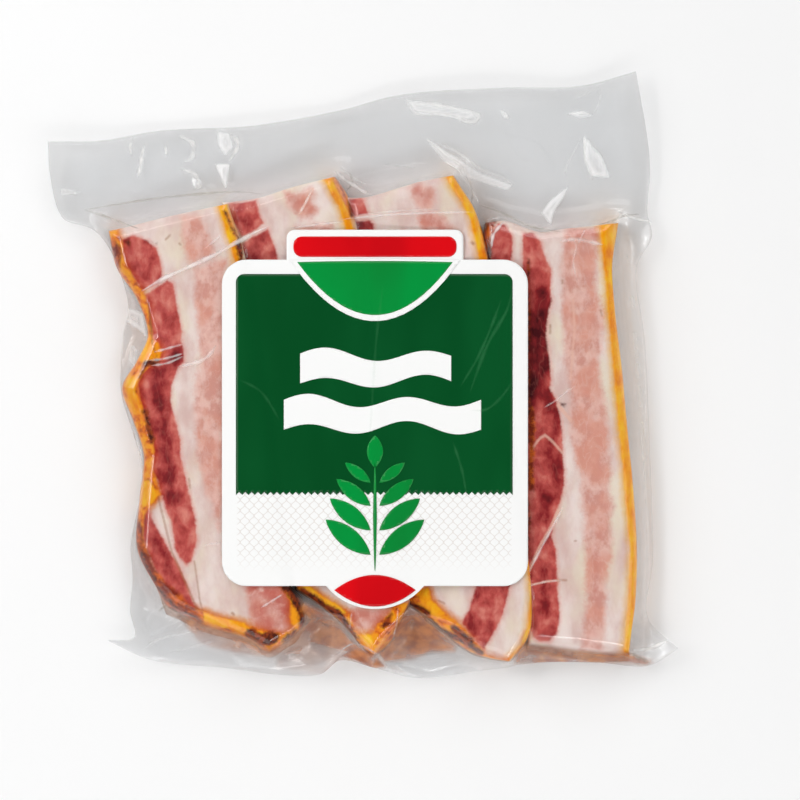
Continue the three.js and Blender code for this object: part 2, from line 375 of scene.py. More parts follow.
# The slabs
slabLook = {
    "across": 110, "along": 330,  # cells of a face
    "wallRows": (0.2, 0.4, 0.6, 0.8, 1),  # of cells, from the face's edge down to the foot
    "clearance": 0.3, "wallClearance": 0.8,  # of a face and of a side wall under the film
    "dent": 0.12, "dentSize": 3.5,  # of the face's unevenness
    "foot": 0.5,  # of the slab's back above the table
    "flare": {"left": 1.2, "right": 0.8, "top": 0.8},  # how far the foot stands out past the face
    "flareBelow": [4.5, 1.5, 1.6, 5],  # the same at each slab's lower end
    "sideSkin": 0.4,  # share of the skin's colour on a long side, where a lower end has all of it
    "unmarked": -20.0,  # depth inside an outline or a line that a slab doesn't have
    "fat": [rgb(244, 228, 222), rgb(223, 192, 185)],
    "cream": rgb(240, 229, 207), "creamShare": 0.8,
    "fume": [rgb(238, 160, 92), rgb(255, 220, 150)],  # the smoke's tint by the crust and by the rind
    "pale": [rgb(236, 195, 184), rgb(216, 157, 144)],
    "rosy": rgb(225, 158, 139), "rosyShare": 0.75,
    # the pale meat's own blush, laid only near the deep strokes, so partly painted shade
    "blushAndShade": rgb(200, 98, 84), "blushAndShadeShare": 0.95,
    "halo": rgb(226, 158, 146), "haloShare": 0.7,
    "rust": [rgb(216, 104, 30), rgb(130, 40, 18)],
    # charred edges, and dark lines of painted shade along gaps
    "charAndShade": [rgb(150, 60, 18), rgb(78, 24, 8)],
    "strand": rgb(236, 190, 172),
    "vein": rgb(168, 112, 78),
    "side": [rgb(206, 174, 156), rgb(156, 120, 100)],
    # colours by the level of the noise that they follow
    "lean": [(0.1, rgb(74, 4, 14)), (0.36, rgb(146, 36, 40)), (0.57, rgb(198, 86, 80)),
             (0.8, rgb(226, 140, 126))],
    "rind": [(0.26, rgb(232, 120, 4)), (0.45, rgb(250, 163, 6)), (0.66, rgb(255, 198, 30))],
    "crust": [(0.32, rgb(160, 58, 14)), (0.43, rgb(232, 116, 14)), (0.55, rgb(250, 164, 24))],
    # noise: size of a blotch in mm, detail, roughness, stretch and twist
    "leanNoise": (4.2, 5, 0.52, (1, 1.4, 1), 0.2), "broadNoise": (16, 2),
    "rindNoise": (4, 4, 0.6, (1, 2, 1)), "crustNoise": (4, 5, 0.62),
    "grain": (1.4, 5, 0.6, (1, 1.6, 1)), "fineGrain": (0.5, 2),
    # patches of a second colour: size, detail, roughness and stretch, and the levels that they fade between
    "fatPatches": (9, 5, 0.6, (1, 2, 1), 0.3, 0.7),
    "creamPatches": (14, 3, 0.5, (1, 2, 1), 0.45, 0.7),
    "palePatches": (4.4, 5, 0.6, (1, 1.4, 1), 0.38, 0.62),
    "rosyPatches": (13, 3, 0.5, (1, 1, 1), 0.42, 0.62),
    "blushAndShadePatches": (3, 4, 0.5, (1, 1, 1), 0.22, 0.55),
    "rustPatches": (4.5, 5, 0.65, (1, 1, 1), 0.38, 0.58),
    "charAndShadePatches": (1.8, 4, 0.5, (1, 1, 1), 0.4, 0.6),
    "sidePatches": (5, 5, 0.65, (1, 1, 2), 0.35, 0.65),
    "fray": [(5, 2.6), (1.1, 1.8)],  # blotch and reach of the coarse and the fine noise that frays every edge
    # a region's edge: the depths inside its outline that it fades between, and how ragged it is
    "edges": {"pale": (-2, 1.6, 1.3), "halo": (-1.8, 0.4, 0.8), "lean": (-0.55, 0.55, 0.5),
              "crustFume": (-3.4, 0.4, 0.8), "rindFume": (-3, 0.4, 0.8), "crust": (-0.8, 0.7, 0.6),
              "rust": (-1, 0.8, 0.9), "rind": (-0.7, 0.6, 0.4), "charAndShade": (-0.7, 0.9, 0.9)},
    "threads": {"white": (-0.45, 0.35, 0.6, 0.75), "line": (-0.5, 0.3, 0.4, 0.55)},  # and the most it shows
    "wisps": {"pale": (5, 0.12), "lean": (6, 0.09)},  # size and share of the thin pale strands in each layer
    "wispEdge": 0.035, "wispStretch": (1, 2.2, 1),
    # the deep strokes are painted shade: near them the lean is drawn darker and the pale meat redder
    "shadeStrokeDepths": (-6, 4), "shadeDarkening": 0.46,  # a deep stroke's edge, and how much it darkens
}
# Each slab's outline, its sides from bottom to top and its ends from left to right.
slabEdges = [
    {
        "left": [[-72, -84.5], [-76.5, -77.5], [-83, -64], [-82, -46], [-80.5, -29.5], [-84.5, -16.5],
                 [-88.5, -4.5], [-83, 5.5], [-79, 15], [-83, 28.5], [-90.5, 40], [-93.5, 53]],
        "right": [[-26, -95], [-22, -90.5], [-23.5, -83], [-27.5, -78], [-36, -9], [-43.5, 43.5], [-50, 63]],
        "top": [[-93.5, 53], [-71.5, 58.5], [-50, 63]],
        "bottom": [[-72, -84.5], [-60.5, -90.5], [-42, -96], [-35, -100.5], [-26, -95]],
    },
    {
        "left": [[-24, -78.5], [-39, -9], [-45.5, 43.5], [-51.5, 63.5]],
        "right": [[17, -83], [7, -9], [-2, 53], [-4.5, 62], [-7, 68], [-11, 73]],
        "top": [[-51.5, 63.5], [-38, 65.5], [-27, 69], [-11, 73]],
        "bottom": [[-24, -78.5], [-12, -87.5], [-5, -94], [-2, -98], [4, -102.7], [9.8, -98.6], [13, -92.5],
                   [17, -83]],
    },
    {
        "left": [[15.5, -83], [4.5, -9], [-4, 53], [-6.5, 65.5]],
        "right": [[54, -105], [59, -100], [61.5, -94], [62, -80], [53, -9], [46, 43.5], [40.5, 62],
                  [33, 73.5]],
        "top": [[-6.5, 65.5], [1, 65.5], [13.5, 69], [20, 71], [33, 73.5]],
        "bottom": [[15.5, -83], [26.5, -91], [34, -98], [40, -102], [47, -104], [54, -105]],
    },
    {
        "left": [[61.8, -98], [59.5, -83], [50.5, -9], [44, 43.5], [46.5, 56]],
        "right": [[98, -101.5], [100.5, -83], [101, -64.5], [100, -46], [97.5, -20], [95.5, 2], [93, 22.5],
                  [91.8, 39.8], [92.5, 46.5], [94.2, 56]],
        "top": [[46.5, 56], [52.5, 56.8], [65.5, 52.7], [74.5, 53.8], [86, 55], [94.2, 56]],
        "bottom": [[61.8, -98], [73, -99.7], [87.5, -101.5], [98, -101.5]],
    },
]
# What shows on each slab: outlines of its layers, and lines with half their width; its deep lines mark
# painted shade.
slabMarks = [
    {
        "lean": [
            [[-88.5, 50], [-84.5, 51.5], [-79, 49.5], [-76, 46.5], [-74.5, 42], [-74, 37], [-75, 34],
             [-81.5, 31.5], [-87, 40], [-88.5, 44.5]],
            [[-80, 29.5], [-72, 35], [-70, 33.5], [-66.5, 16], [-67, 12.5], [-66, 9.5], [-66, 5],
             [-68.5, 1.5], [-70.5, -3.5], [-71, -9], [-67, -24.5], [-67, -30.5], [-61.5, -54], [-61, -60],
             [-62.5, -65.5], [-63, -68.5], [-65, -69.5], [-67.5, -67], [-69, -64], [-70.5, -53.5],
             [-73, -48], [-75.5, -38.5], [-77.5, -35], [-77, -24], [-82, -9], [-83, -3.5], [-82, 0.5],
             [-78, 3.5], [-76, 7], [-79.5, 26]],
            [[-79.5, -48], [-75.5, -57], [-67.5, -71], [-61, -86.5], [-64, -86.5], [-73, -77.5],
             [-76.5, -72], [-81, -59.5], [-81, -52]],
        ],
        "pale": [
            [[-66.5, 58], [-59, 58.5], [-57.5, 52], [-54.5, 44], [-62, 40.5], [-64, 42], [-66, 48.5]],
            [[-62, 39], [-53.5, 42], [-50.5, 42], [-50.5, -35], [-52.5, -57], [-60.5, -31.5], [-62, -7],
             [-59.5, 6.5], [-61.5, 28]],
            [[-43, -75.5], [-27, -75.5], [-23.5, -89.5], [-25, -93.5], [-29.5, -96.5], [-37.5, -95],
             [-40.5, -92], [-42, -85]],
        ],
        "rind": [
            [[-53.5, 64], [-50.5, 64], [-46, 49.5], [-45, 42], [-43.5, 28], [-45.5, 28], [-47, 42],
             [-51.5, 57]],
            [[-83, -40], [-79, -38.5], [-76, -43], [-77.5, -47], [-81, -48.5]],
            [[-88.5, -3.5], [-86, 0.5], [-83.5, -1], [-84, -6], [-81.5, -14], [-84.5, -14]],
            [[-82, 12], [-79, 14], [-75.5, 12], [-74, 8.5], [-75.5, 5], [-79, 4], [-82, 5]],
            [[-58.5, -87.5], [-53.5, -89.5], [-43.5, -91], [-42, -94], [-52, -93], [-58.5, -91]],
        ],
        "crust": [
            [[-97.5, 55.5], [-90.5, 54], [-89, 50], [-88.5, 44.5], [-87, 40], [-80.5, 29.5], [-79, 25],
             [-77.5, 14], [-76, 8.5], [-78, 4.5], [-81.5, 0.5], [-83, -3], [-82.5, -8.5], [-77.5, -24],
             [-77, -29.5], [-77.5, -34], [-75, -44], [-80.5, -51], [-81.3, -59], [-80, -66], [-77.5, -72.5],
             [-73.5, -78], [-69, -82.5], [-62, -87.5], [-59, -88], [-59, -94], [-71.5, -92.5], [-82.5, -83],
             [-88, -68.5], [-92, -1.5], [-86, 11.5], [-99, 42.5]],
            [[-62, -86], [-57.5, -88], [-29.5, -95.5], [-24.5, -93], [-21.5, -85.5], [-18, -98],
             [-34.5, -105.5], [-62, -95.5]],
            [[-29.5, -77], [-26.5, -77], [-23.5, -81.5], [-21, -89], [-23.5, -95], [-26.5, -90.5],
             [-26.5, -84]],
        ],
        "rust": [
            [[-84, -50], [-81.5, -56], [-80.5, -62], [-77.5, -70], [-73.5, -75.5], [-64.5, -83.5],
             [-60, -87.5], [-59, -93], [-72, -93], [-84, -80], [-88, -62]],
            [[-98, 52], [-91, 50], [-89, 45], [-90, 38], [-95, 40]],
        ],
        "charAndShade": [
            [1.2, [[-80, -13.5], [-79, -18.5], [-78, -24]]],
            [0.8, [[-83, -62.5], [-79, -72], [-75, -79.5], [-67.5, -87], [-61, -89.5]]],
            [2.6, [[-41, -95.5], [-37.5, -97.5], [-33.5, -96.5]]],
            [1.7, [[-28.5, -77.5], [-25, -82], [-22.5, -87.5], [-22, -92]]],
            [1.1, [[-25, -94.5], [-29, -98]]],
            [0.7, [[-86.5, 49], [-86, 48]]],
            [0.4, [[-79, 28], [-78.5, 20.5], [-77.5, 11.5], [-76, 7]]],
            [1.1, [[-80, 4.5], [-76, 5]]],
            [0.5, [[-80.5, 3], [-82.5, -1]]],
            [0.4, [[-76, 48.5], [-79, 49]]],
            [0.5, [[-50.5, 60], [-48.5, 54.5], [-45.5, 50]]],
            [1.2, [[-45.5, 48], [-44.5, 42]]],
        ],
        "line": [
            [0.3, [[-79, -39.5], [-76, -42.5], [-70.5, -64.5], [-61.5, -85], [-59.5, -87.5]]],
            [0.2, [[-62, -68.5], [-61, -75.5], [-60, -83], [-58.5, -88.5]]],
            [0.3, [[-72.5, 50], [-71, 51.5]]],
            [0.3, [[-67.5, 48.5], [-67, 48]]],
            [0.4, [[-48, -87.5], [-47.5, -88]]],
            [0.2, [[-64, -38], [-63.5, -41.5]]],
        ],
        "deep": [
            [-0.2, [[-74, 2], [-75, -9], [-73, -20], [-72, -31.5], [-70, -44]]],
            [-1.2, [[-75.5, -61], [-71.5, -70], [-68, -77]]],
            [-1, [[-69, 9.5], [-68.5, 4.5]]],
            [2.4, [[-41, -77.5], [-33, -80], [-29, -86]]],
            [1.2, [[-38, -86], [-34, -92]]],
        ],
    },
    {
        "lean": [
            [[-49.5, 63.5], [-39.5, 64.5], [-38.5, 60], [-36.5, 56], [-39, 54], [-44.5, 51], [-49, 59]],
            [[-44.5, 48.5], [-35, 54], [-33.5, 50], [-32, 45.5], [-31, 39], [-44.5, 39]],
        ],
        "pale": [
            [[-29, 68], [-24, 66.5], [-19.5, 68.5], [-17.5, 66.5], [-19, 63.5], [-16.5, 61], [-19, 58],
             [-22.5, 57.5], [-28, 62.5]],
            [[-24.5, 54], [-16, 55.5], [-11, 55.5], [-11, 51.5], [-25, 51.5]],
            [[-6.5, -87.5], [-1, -85.5], [12, -84.5], [10, -88], [7, -91], [5, -94], [-0.5, -93.5],
             [-4, -91]],
        ],
        "rind": [
            [[-14.5, 72.5], [-11.5, 73], [-5, 59.5], [-3.5, 54], [-2, 42.5], [-5, 42.5], [-6.5, 54.5],
             [-8.5, 61], [-11.5, 67]],
            [[-22.5, -77], [-19, -78], [-15, -81.5], [-10, -84], [-6.5, -87.5], [-9, -88], [-20.5, -81.5]],
            [[-0.5, -95.5], [2.5, -95.5], [5, -98], [3, -101.5], [-0.5, -99.5], [-3, -97]],
        ],
        "crust": [
            [[-11.5, 73], [-9, 73], [-6.5, 68.5], [-3.5, 65.5], [-3.5, 59], [-6.5, 62.5], [-8.5, 67]],
            [[-25, -76.5], [-19.5, -78], [-15, -82], [-5, -88], [-3, -94], [0.5, -97], [3.5, -95],
             [6.5, -91], [10, -87.5], [12, -84], [16.5, -84], [12, -101.5], [4, -106.5], [-6.5, -101.5],
             [-16.5, -88.5], [-25.5, -80]],
        ],
        "charAndShade": [
            [1.3, [[-22, -79.5], [-15, -84.5], [-9, -88], [-5, -93.5], [-3, -97]]],
            [1, [[8, -92], [10.5, -88]]],
            [0.6, [[-5, 64], [-4, 59]]],
        ],
        "line": [
            [0.3, [[-8, 71], [-5, 68]]],
        ],
        "deep": [
            [-1.8, [[-40, 50], [-39, 42]]],
            [-1.5, [[-26, 66], [-19, 61]]],
            [0, [[-3, -88.5], [5, -88.5]]],
        ],
        "white": [
            [0.5, [[-23.5, 59], [-21, 63.5], [-18.5, 68.5]]],
        ],
    },
    {
        "lean": [
            [[-5, 65], [-0.5, 65.5], [2, 59.5], [-4, 58.5], [-5, 62.5]],
            [[-3.5, 56.5], [2.5, 57], [4, 55.5], [5, 46.5], [-1, 46.5]],
            [[42, -76.5], [54.5, -76.5], [51.5, -88], [46.5, -98], [44.5, -101], [36.5, -91], [39.5, -85.5]],
        ],
        "pale": [
            [[17, 68.5], [20.5, 71], [25, 69], [26.5, 63.5], [25, 61], [20, 61.5], [18, 65]],
            [[20.5, 59], [25.5, 60], [30.5, 58.5], [31.5, 55.5], [34.5, 52.5], [32, 46.5], [25, 46.5],
             [21, 56]],
        ],
        "rind": [
            [[30, 74.5], [33, 74.5], [38.5, 65.5], [42, 61.5], [46, 43.5], [47.5, 28], [45, 28], [42, 46.5],
             [39.5, 57], [36.5, 63.5], [33, 68.5]],
            [[60.5, -68.5], [62, -68.5], [63.5, -83], [62.5, -92.5], [60.5, -100], [56, -105],
             [53.5, -104.3], [58.8, -98.5], [60.7, -90.5], [61.6, -81]],
            [[19.5, -79.5], [24, -78.5], [25, -83], [30, -88], [27, -89], [22.5, -85.5]],
        ],
        "crust": [
            [[39, 65.5], [42.5, 63.5], [47, 58.5], [48, 55.5], [46.5, 50], [45, 51.5], [42, 61]],
            [[13, -83], [18, -79.5], [24, -79], [25, -83], [30.5, -88], [35, -91], [45.5, -103.5],
             [50.5, -105], [55, -105], [58.8, -101.5], [60.8, -95], [65, -95], [59.5, -109.5], [43.5, -109],
             [28.5, -99.5], [13, -88]],
        ],
        "charAndShade": [
            [1.3, [[25, -91], [31, -95.5], [36.5, -98], [43.5, -102.5]]],
            [1.3, [[33.5, -93], [39.5, -98]]],
            [1.1, [[15, -83.5], [20.5, -85.5], [24, -88]]],
            [0.5, [[40.5, 48.5], [41, 48.5]]],
            [0.8, [[45, 53.5], [46.5, 42]]],
        ],
        "line": [
            [0.3, [[28, -83], [30, -84]]],
        ],
        "deep": [
            [-0.6, [[-2, 55.5], [-0.5, 50]]],
            [-1.5, [[20, 68], [23, 64]]],
            [-1.5, [[22, 57], [33, 53]]],
            [-3.6, [[47, -81], [45.5, -86]]],
        ],
    },
    {
        "lean": [
            [[47.5, 53], [50, 56], [52.5, 55.5], [55, 51.5], [55, 46.5], [54, 37], [47.5, 37], [47, 48.5]],
            [[59, 52.5], [62.5, 52.5], [65, 49.5], [69, 39], [69.5, 27], [68, 21.5], [67.5, 15], [69, 5],
             [69, -4.5], [71.5, -10], [73, -16.5], [74, -35], [74, -40.5], [73, -45.5], [70, -53.5],
             [69.5, -59], [71, -64], [72.5, -91], [71, -95.5], [68.5, -98], [65.5, -98], [63, -96.5],
             [62, -92.5], [59, -68.5], [55, -9], [59, 42.5]],
        ],
        "pale": [
            [[74.5, 54.5], [86, 54], [86.5, 48.5], [86, 31.5], [87, 26], [88.5, 22.5], [87, 5.5],
             [87.5, -3.5], [90, -16.5], [90, -24], [91.5, -37], [90.5, -42.5], [92, -48], [91, -53.5],
             [92, -61], [91.5, -66.5], [90, -72], [89, -83], [89, -92.5], [87.5, -101.5], [81, -101.5],
             [82.5, -79.5], [81, -46], [80.5, -38.5], [77, -24], [76.5, -16.5], [77.5, -9], [74.5, 5.5],
             [73.5, 20.5], [74, 31.5], [73.5, 42.5]],
        ],
        "rind": [
            [[87.5, 55.5], [90, 57.5], [96, 58.5], [96, 51.5], [94, 46.5], [93, 40], [102, -46],
             [102.5, -62.5], [102, -88.5], [100.5, -103.5], [96, -103.5], [98, -79.5], [98.5, -64.5],
             [88, 48.5]],
        ],
        "rust": [
            [[45, 60], [50, 58.5], [47.5, 51.5], [46.8, 42], [44, 42], [43, 54]],
            [[62, -12], [63.5, -13.5], [63, -35], [63, -42.5], [61, -42.5], [61, -12]],
        ],
        # the two lines at x 61 are painted shade along the label's edge; the others are charring
        "charAndShade": [
            [0.6, [[61, 42.5], [61, -68.5]]],
            [0.7, [[47, 50], [46, 42]]],
            [0.8, [[61, -79.5], [61.5, -92.5]]],
            [0.4, [[73, -10.5], [74, -11]]],
        ],
        "line": [
            [0.3, [[71.5, -75.5], [75, -75.5]]],
            [0.3, [[73.5, 35], [73.5, 34]]],
            [0.3, [[69, 18.5], [69, 15.5]]],
            [0.2, [[78, -61], [78.5, -61]]],
            [0.2, [[87.5, 24], [88, 22]]],
        ],
        "deep": [
            [3, [[67.5, 27], [64.5, 17], [66, 5.5], [62.5, -6]]],
            [-1.5, [[77, 53], [86, 52]]],
            [0.2, [[65.5, -3.5], [70, -10.5], [72, -16.5]]],
            [-0.4, [[69, -25.5], [71.5, -38.5], [66, -52]]],
            [-1, [[67, -70], [67.5, -86]]],
            [-3, [[86, -55], [85.5, -95]]],
        ],
        "white": [
            [0.4, [[62, -27.5], [65, -23.5], [67, -22], [69.5, -24], [73.5, -28.5]]],
            [0.5, [[61, -72.5], [65.5, -62.5], [69, -56.5], [72, -50]]],
            [0.3, [[61, -77.5], [67.5, -76], [72, -75.5]]],
            [0.6, [[72, -11], [76.5, -16.5]]],
            [0.3, [[77.5, 28], [78, 17], [76.5, -1.5]]],
        ],
    },
]


def slabMaterial():
    look = slabLook
    material, tree = newMaterial("curedPork")

    def swinging(*pattern):  # noise about nothing
        return calc(tree, "SUBTRACT", clouds(tree, *pattern), 0.5)

    def region(name, edge=None):  # 0 to 1 over the ragged edge of a stored outline
        low, high, ragged = look["edges"][edge or name]
        return fade(tree, total(tree, stored(tree, name), product(tree, fray, ragged)), low, high)

    def thread(name):  # the same over a stored line
        low, high, ragged, most = look["threads"][name]
        return fade(tree, total(tree, stored(tree, name), product(tree, fine, ragged)), low, high, 0, most)

    def wisps(name):  # drawn where noise crosses its middle value
        size, share = look["wisps"][name]
        middle = swinging(size, 3, 0.5, look["wispStretch"], 0.6)
        return fade(tree, calc(tree, "ABSOLUTE", middle), 0, look["wispEdge"], share, 0)

    (coarseSize, coarseReach), (fineSize, fineReach) = look["fray"]
    coarse, fine = swinging(coarseSize, 3), swinging(fineSize, 3, 0.6)
    fray = total(tree, product(tree, coarse, coarseReach), product(tree, fine, fineReach))
    # painted shade: how near each point lies to a deep stroke
    deep = stored(tree, "deep")
    # fat, then the pale meat
    colour = mixed(tree, patches(tree, look["fatPatches"]), *look["fat"])
    colour = mixed(tree, patches(tree, look["creamPatches"], 0, look["creamShare"]), colour, look["cream"])
    pink = mixed(tree, patches(tree, look["palePatches"]), *look["pale"])
    pink = mixed(tree, patches(tree, look["rosyPatches"], 0, look["rosyShare"]), pink, look["rosy"])
    pink = mixed(tree, wisps("pale"), pink, look["fat"][0])
    # the pale meat turns redder and darker near the deep strokes: partly its own blush, partly painted shade
    shadedBlush = fade(tree, deep, *look["shadeStrokeDepths"], 0, look["blushAndShadeShare"])
    shadedBlush = product(tree, shadedBlush, patches(tree, look["blushAndShadePatches"]))
    pink = mixed(tree, shadedBlush, pink, look["blushAndShade"])
    colour = mixed(tree, region("pale"), colour, pink)
    # the lean with a halo round it
    colour = mixed(tree, product(tree, region("lean", "halo"), look["haloShare"]), colour, look["halo"])
    # painted shade: the lean is drawn darker near the deep strokes
    darker = fade(tree, deep, *look["shadeStrokeDepths"], 0, look["shadeDarkening"])
    marble = calc(tree, "SUBTRACT", clouds(tree, *look["leanNoise"]), darker)
    marble = total(tree, marble, calc(tree, "MULTIPLY_ADD", clouds(tree, *look["broadNoise"]), 0.24, -0.04))
    meat = mixed(tree, wisps("lean"), ramp(tree, marble, look["lean"]), look["lean"][-1][1])
    colour = mixed(tree, region("lean"), colour, meat)
    colour = mixed(tree, thread("white"), colour, look["strand"])
    colour = mixed(tree, thread("line"), colour, look["vein"])
    # what the smoke made
    colour = mixed(tree, region("crust", "crustFume"), colour, look["fume"][0], "MULTIPLY")
    colour = mixed(tree, region("rind", "rindFume"), colour, look["fume"][1], "MULTIPLY")
    smoked = ramp(tree, clouds(tree, *look["crustNoise"]), look["crust"])
    colour = mixed(tree, region("crust"), colour, smoked)
    rusty = mixed(tree, patches(tree, look["rustPatches"]), *look["rust"])
    colour = mixed(tree, region("rust"), colour, rusty)
    amber = ramp(tree, clouds(tree, *look["rindNoise"]), look["rind"])
    colour = mixed(tree, region("rind"), colour, amber)
    # charring, and in places painted shade along a gap
    charredAndShaded = mixed(tree, patches(tree, look["charAndShadePatches"]), *look["charAndShade"])
    colour = mixed(tree, region("charAndShade"), colour, charredAndShaded)
    skin = mixed(tree, patches(tree, look["sidePatches"]), *look["side"])
    colour = mixed(tree, fade(tree, stored(tree, "wall"), 0.08, 0.35), colour, skin)
    relief = total(tree, clouds(tree, *look["grain"]), product(tree, clouds(tree, *look["fineGrain"]), 0.4))
    finishMaterial(tree, principled(tree, {
        "Base Color": colour, "Roughness": 0.4, "Specular IOR Level": 0.25,
        "Normal": bumped(tree, relief, 0.3, 0.4),
        "Subsurface Weight": 0.1, "Subsurface Radius": (1, 0.35, 0.2), "Subsurface Scale": 0.001,
    }))
    return material


def buildSlab(index, material):
    look, shape, marks = slabLook, slabShapes[index], slabMarks[index]
    edges = {side: smoothCurve(points, 12) for side, points in slabEdges[index].items()}
    bm = wrappedGrid(look["across"], look["along"], [(1, level) for level in look["wallRows"]])
    points = readPoints(bm.verts)
    u, v, down = (points[:, 0] + 1) / 2, (points[:, 1] + 1) / 2, points[:, 2]
    place = patch(edges, u, v)
    # The side wall stands out towards its foot, by another amount on each side.
    out, flare = np.sin(down * math.pi / 2), look["flare"]
    x = place[:, 0] + out * (flare["right"] * ease(u, 0.9, 1) - flare["left"] * ease(u, 0.1, 0))
    y = place[:, 1] + out * (flare["top"] * ease(v, 0.97, 1) - look["flareBelow"][index] * ease(v, 0.05, 0))
    # The face lies close under the film, and under its own rounded edge.
    film = filmHeights(x, y)[0]
    depth, own = slabUnder(shape, x, y)
    own = own - pouchShape["shoulder"] * np.clip(1 - depth / pouchShape["shoulderWidth"], 0, 1.5) ** 2
    dent = look["dent"] * (1 + ripple(x, y, look["dentSize"], index * 7.3))
    face = np.minimum(film, own) - look["clearance"] - dent
    z = face * (1 - down) + look["foot"] * down
    z = np.where(down > 0.01, np.minimum(z, film - look["wallClearance"]), z)
    placePoints(bm.verts, x, y, np.maximum(z, look["foot"]))
    bmesh.ops.recalc_face_normals(bm, faces=bm.faces[:])
    # How far each point is inside what is marked on the slab, for the material
    long = look["sideSkin"] * np.maximum(ease(u, 0.02, 0), ease(u, 0.98, 1))
    values = {"wall": down * np.maximum(ease(v, 0.1, 0), long)}
    nowhere = np.full(x.shape, look["unmarked"])
    for key in ("lean", "pale", "rind", "crust", "rust"):
        values[key] = np.maximum.reduce([insideOutline(x, y, o) for o in marks.get(key, [])] + [nowhere])
    for key in ("charAndShade", "line", "white", "deep"):
        depths = [half - nearLine(x, y, line) for half, line in marks.get(key, [])]
        values[key] = np.maximum.reduce(depths + [nowhere])
    return addPiece("slab%d" % (index + 1), bm, material, "pouch", values)


pork = slabMaterial()
slabs = [buildSlab(index, pork) for index in range(len(slabShapes))]
print("stage: slabs", [len(piece.data.polygons) for piece in slabs])

